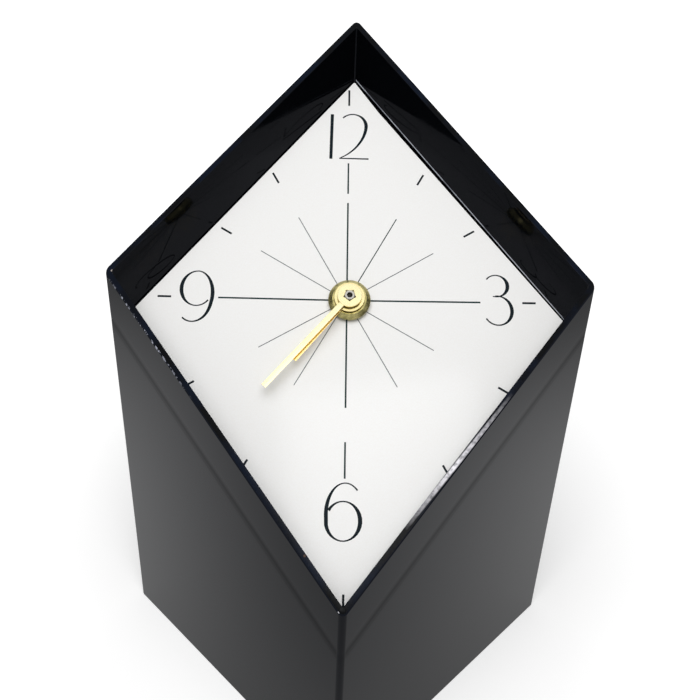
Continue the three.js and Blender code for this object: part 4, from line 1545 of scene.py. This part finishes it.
@dataclass
class Movement:
    """The moulded movement behind the dial, its cell and what is sealed inside."""

    edge: float = 0.2
    sharp_above: float = math.radians(40)
    merge_within: float = 0.003
    flat_below: float = math.radians(0.5)
    rounded: tuple[tuple[str, str, Body, Finish], ...] = (
        ("front_housing", "housing_shell", Body.CASE, Finishes.HOUSING),
        ("rear_cover", "cover_plate", Body.CASE, Finishes.HOUSING),
        ("setting_knob", "fluted_knob", Body.KNOB, Finishes.ACETAL),
        ("battery_cell", "dry_cell", Body.CASE, Finishes.CELL),
    )
    mouldings: tuple[str, ...] = (
        "middle_plate",
        "hour_wheel",
        "minute_wheel",
        "centre_wheel",
        "third_wheel",
        "seconds_wheel",
        "intermediate_wheel",
        "coil_bobbin",
    )
    metal: tuple[str, ...] = (
        "rotor",
        "stator",
        "coil_core",
        "quartz_crystal",
        "positive_contact",
        "negative_contact",
    )

    def softened(self, name: str) -> BMesh:
        """A CAD node's shape with its sharp edges rounded, in millimetres in the frame's axes.

        Args:
            name: the CAD node.

        Returns:
            The bmesh.
        """
        bm = bmesh.new()
        bm.from_mesh(frame["nodes"][name].data)
        bmesh.ops.transform(bm, matrix=Matrix.Scale(1 / MM, 4), verts=bm.verts)
        bmesh.ops.remove_doubles(bm, verts=bm.verts, dist=self.merge_within)
        bmesh.ops.dissolve_limit(bm, angle_limit=self.flat_below, verts=bm.verts, edges=bm.edges)
        joined = [edge for edge in bm.edges if len(edge.link_faces) == 2]
        bmesh.ops.bevel(
            bm,
            geom=[edge for edge in joined if edge.calc_face_angle(0) > self.sharp_above],
            offset=self.edge,
            segments=2,
            profile=0.5,
            affect="EDGES",
            material=-1,
            clamp_overlap=True,
        )
        bmesh.ops.triangulate(bm, faces=[face for face in bm.faces if len(face.verts) > 4])
        return bm

    def build(self) -> None:
        """Round the outer mouldings' edges and dress the rest."""
        for node, name, body, finish in self.rounded:
            new_piece(self.softened(node), name, (finish,), CASE_AXES, body, (node,))
        dress(self.mouldings, Finishes.ACETAL)
        dress(self.metal, Finishes.STEEL)
        dress(["coil_winding"], Finishes.WIRE)
        dress(["circuit_board"], Finishes.SOLDER_MASK)
        dress(["timing_chip"], Finishes.RESIN)


@dataclass(frozen=True)
class Pool:
    """An oval patch of the floor that is lit more, as the walls mirror it; places and radii in metres."""

    place: Point
    radii: Point
    level: float


@dataclass(frozen=True)
class Softbox:
    """A square soft lamp, in metres and watts."""

    name: str
    place: Place
    side: float
    power: float
    mirrored: bool  # whether glossy surfaces show it

    def build(self, aim: Place) -> None:
        """Set the lamp up.

        Args:
            aim: the place that it points at, in metres.
        """
        data = bpy.data.lights.new(self.name, "AREA")
        data.size = self.side
        data.energy = self.power
        made = bpy.data.objects.new(self.name, data)
        away = Vector(self.place) - Vector(aim)
        made.matrix_world = Matrix.Translation(self.place) @ away.to_track_quat("Z", "Y").to_matrix().to_4x4()
        made.visible_glossy = self.mirrored
        bpy.context.scene.collection.objects.link(made)


@dataclass
class Studio:
    """Floor, world, lamps and the camera at the photograph's place."""

    camera_place: Place = (-4.401, -215.605, 246.039)
    pitch_down: float = 29.239
    yaw: float = 0.401
    roll: float = 1.965
    focal_pixels: float = 854.733
    centre_pixel: Point = (340.035, 294.0)  # where the camera's axis meets the photograph
    sensor: float = 36.0
    clip: Point = (0.01, 50.0)
    world_level: float = 0.25
    aim: Place = (0.0, 0.0, 0.11)
    lamps: tuple[Softbox, ...] = (
        Softbox("overhead_softbox", (-0.06, -0.32, 0.79), 0.7, 4.95, mirrored=False),
        Softbox("ceiling_window", (0.06, -0.389, 0.70), 0.22, 0.4, mirrored=True),
    )
    floor_side: float = 12.0
    floor_colour: str = "f4f4f4"
    paper_glow: Point = (0.3, 0.9)  # what the floor shows the camera beside its own light, near and far
    paper_reach: Point = (0.08, 0.45)  # metres from the clock between which it grows
    pools: tuple[Pool, ...] = (
        Pool((-0.14, 0.04), (0.2, 0.125), 0.8),
        Pool((0.15, 0.015), (0.16, 0.16), 0.62),
    )

    def camera(self) -> None:
        """Camera with the photograph's angle, lens and framing."""
        yaw, pitch, roll = (math.radians(angle) for angle in (self.yaw, self.pitch_down, self.roll))
        ahead = Vector((math.sin(yaw) * math.cos(pitch), math.cos(yaw) * math.cos(pitch), -math.sin(pitch)))
        level = Vector((math.cos(yaw), -math.sin(yaw), 0))
        above = level.cross(ahead)
        right = level * math.cos(roll) + above * math.sin(roll)
        up = above * math.cos(roll) - level * math.sin(roll)
        data = bpy.data.cameras.new("photograph_view")
        data.sensor_width = self.sensor
        data.lens = self.sensor * self.focal_pixels / IMAGE_SIDE
        data.shift_x = (IMAGE_SIDE / 2 - self.centre_pixel[0]) / IMAGE_SIDE
        data.shift_y = (self.centre_pixel[1] - IMAGE_SIDE / 2) / IMAGE_SIDE
        data.clip_start, data.clip_end = self.clip
        made = bpy.data.objects.new("photograph_view", data)
        turn = Matrix((right, up, -ahead)).transposed().to_4x4()
        made.matrix_world = Matrix.Translation(Vector(self.camera_place) * MM) @ turn
        bpy.context.scene.collection.objects.link(made)
        bpy.context.scene.camera = made

    def world(self) -> None:
        """Plain white all round: full white to the camera and in reflections, softer as light."""
        world = bpy.data.worlds.new("white_room")
        world.use_nodes = True
        tree = world.node_tree
        tree.nodes.clear()
        path = add_node(tree, "LightPath").outputs
        looks = {0: path["Is Camera Ray"], 1: path["Is Glossy Ray"]}
        seen = add_node(tree, "Math", looks, {"operation": "MAXIMUM"})
        level = add_node(tree, "MapRange", {"Value": seen, "To Min": self.world_level, "To Max": 1.0})
        shade = add_node(tree, "Background", {"Color": linear("ffffff"), "Strength": level})
        add_node(tree, "OutputWorld", {"Surface": shade})
        bpy.context.scene.world = world

    def pool_glow(self, tree: NodeTree, pool: Pool) -> Node:
        """Light of one pool by the place on the floor.

        Args:
            tree: the floor's node tree.
            pool: the pool.

        Returns:
            Its strength, falling softly from the middle to the oval's edge.
        """
        place = add_node(tree, "TexCoord").outputs["Object"]
        shifted = add_node(tree, "VectorMath", {0: place, 1: (*pool.place, 0)}, SUBTRACT)
        shares = add_node(tree, "VectorMath", {0: shifted, 1: (*pool.radii, 1)}, {"operation": "DIVIDE"})
        away = add_node(tree, "VectorMath", {0: shares}, LENGTH)
        falling = {"Value": away, "To Min": pool.level, "To Max": 0.0}
        return add_node(tree, "MapRange", falling, {"interpolation_type": "SMOOTHSTEP"})

    def paper(self) -> Material:
        """White floor that keeps the clock's soft shadow and is full white further out.

        Returns:
            The floor's material.
        """
        made = bpy.data.materials.new("white_floor")
        made.use_nodes = True
        tree = made.node_tree
        tree.nodes.clear()
        path = add_node(tree, "LightPath").outputs
        outward = add_node(tree, "VectorMath", {0: add_node(tree, "TexCoord").outputs["Object"]}, LENGTH)
        start, end = self.paper_reach
        near, far = self.paper_glow
        grown = {"Value": outward, "From Min": start, "From Max": end, "To Min": near, "To Max": far}
        shown = add_node(tree, "MapRange", grown)
        lift = add_node(tree, "Math", {0: shown, 1: path["Is Camera Ray"]}, MULTIPLY)
        for pool in self.pools:
            seen = {0: self.pool_glow(tree, pool), 1: path["Is Glossy Ray"], 2: lift}
            lift = add_node(tree, "Math", seen, MULTIPLY_ADD)
        matt = add_node(tree, "BsdfDiffuse", {"Color": linear(self.floor_colour)})
        glow = add_node(tree, "Emission", {"Color": linear("ffffff"), "Strength": lift})
        add_node(tree, "OutputMaterial", {"Surface": add_node(tree, "AddShader", {0: matt, 1: glow})})
        return made

    def floor(self) -> None:
        """A wide sheet of white paper under the clock."""
        bm = bmesh.new()
        bmesh.ops.create_grid(bm, x_segments=1, y_segments=1, size=self.floor_side / 2)
        mesh = bpy.data.meshes.new("floor")
        bm.to_mesh(mesh)
        bm.free()
        mesh.materials.append(self.paper())
        made = bpy.data.objects.new("floor", mesh)
        bpy.context.scene.collection.objects.link(made)

    def build(self) -> None:
        """Set up everything that isn't the clock."""
        self.camera()
        self.world()
        self.floor()
        for lamp in self.lamps:
            lamp.build(self.aim)
        bpy.context.scene.view_settings.view_transform = "Standard"


def main() -> None:
    """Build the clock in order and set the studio."""
    logging.basicConfig(level=logging.INFO, format="%(name)s %(message)s")
    for part in (Case(), PrintedDial(), Fixing(), HandSet(), Movement(), Studio()):
        LOG.info("building %s", type(part).__name__)
        part.build()


if __name__ == "__main__":
    main()
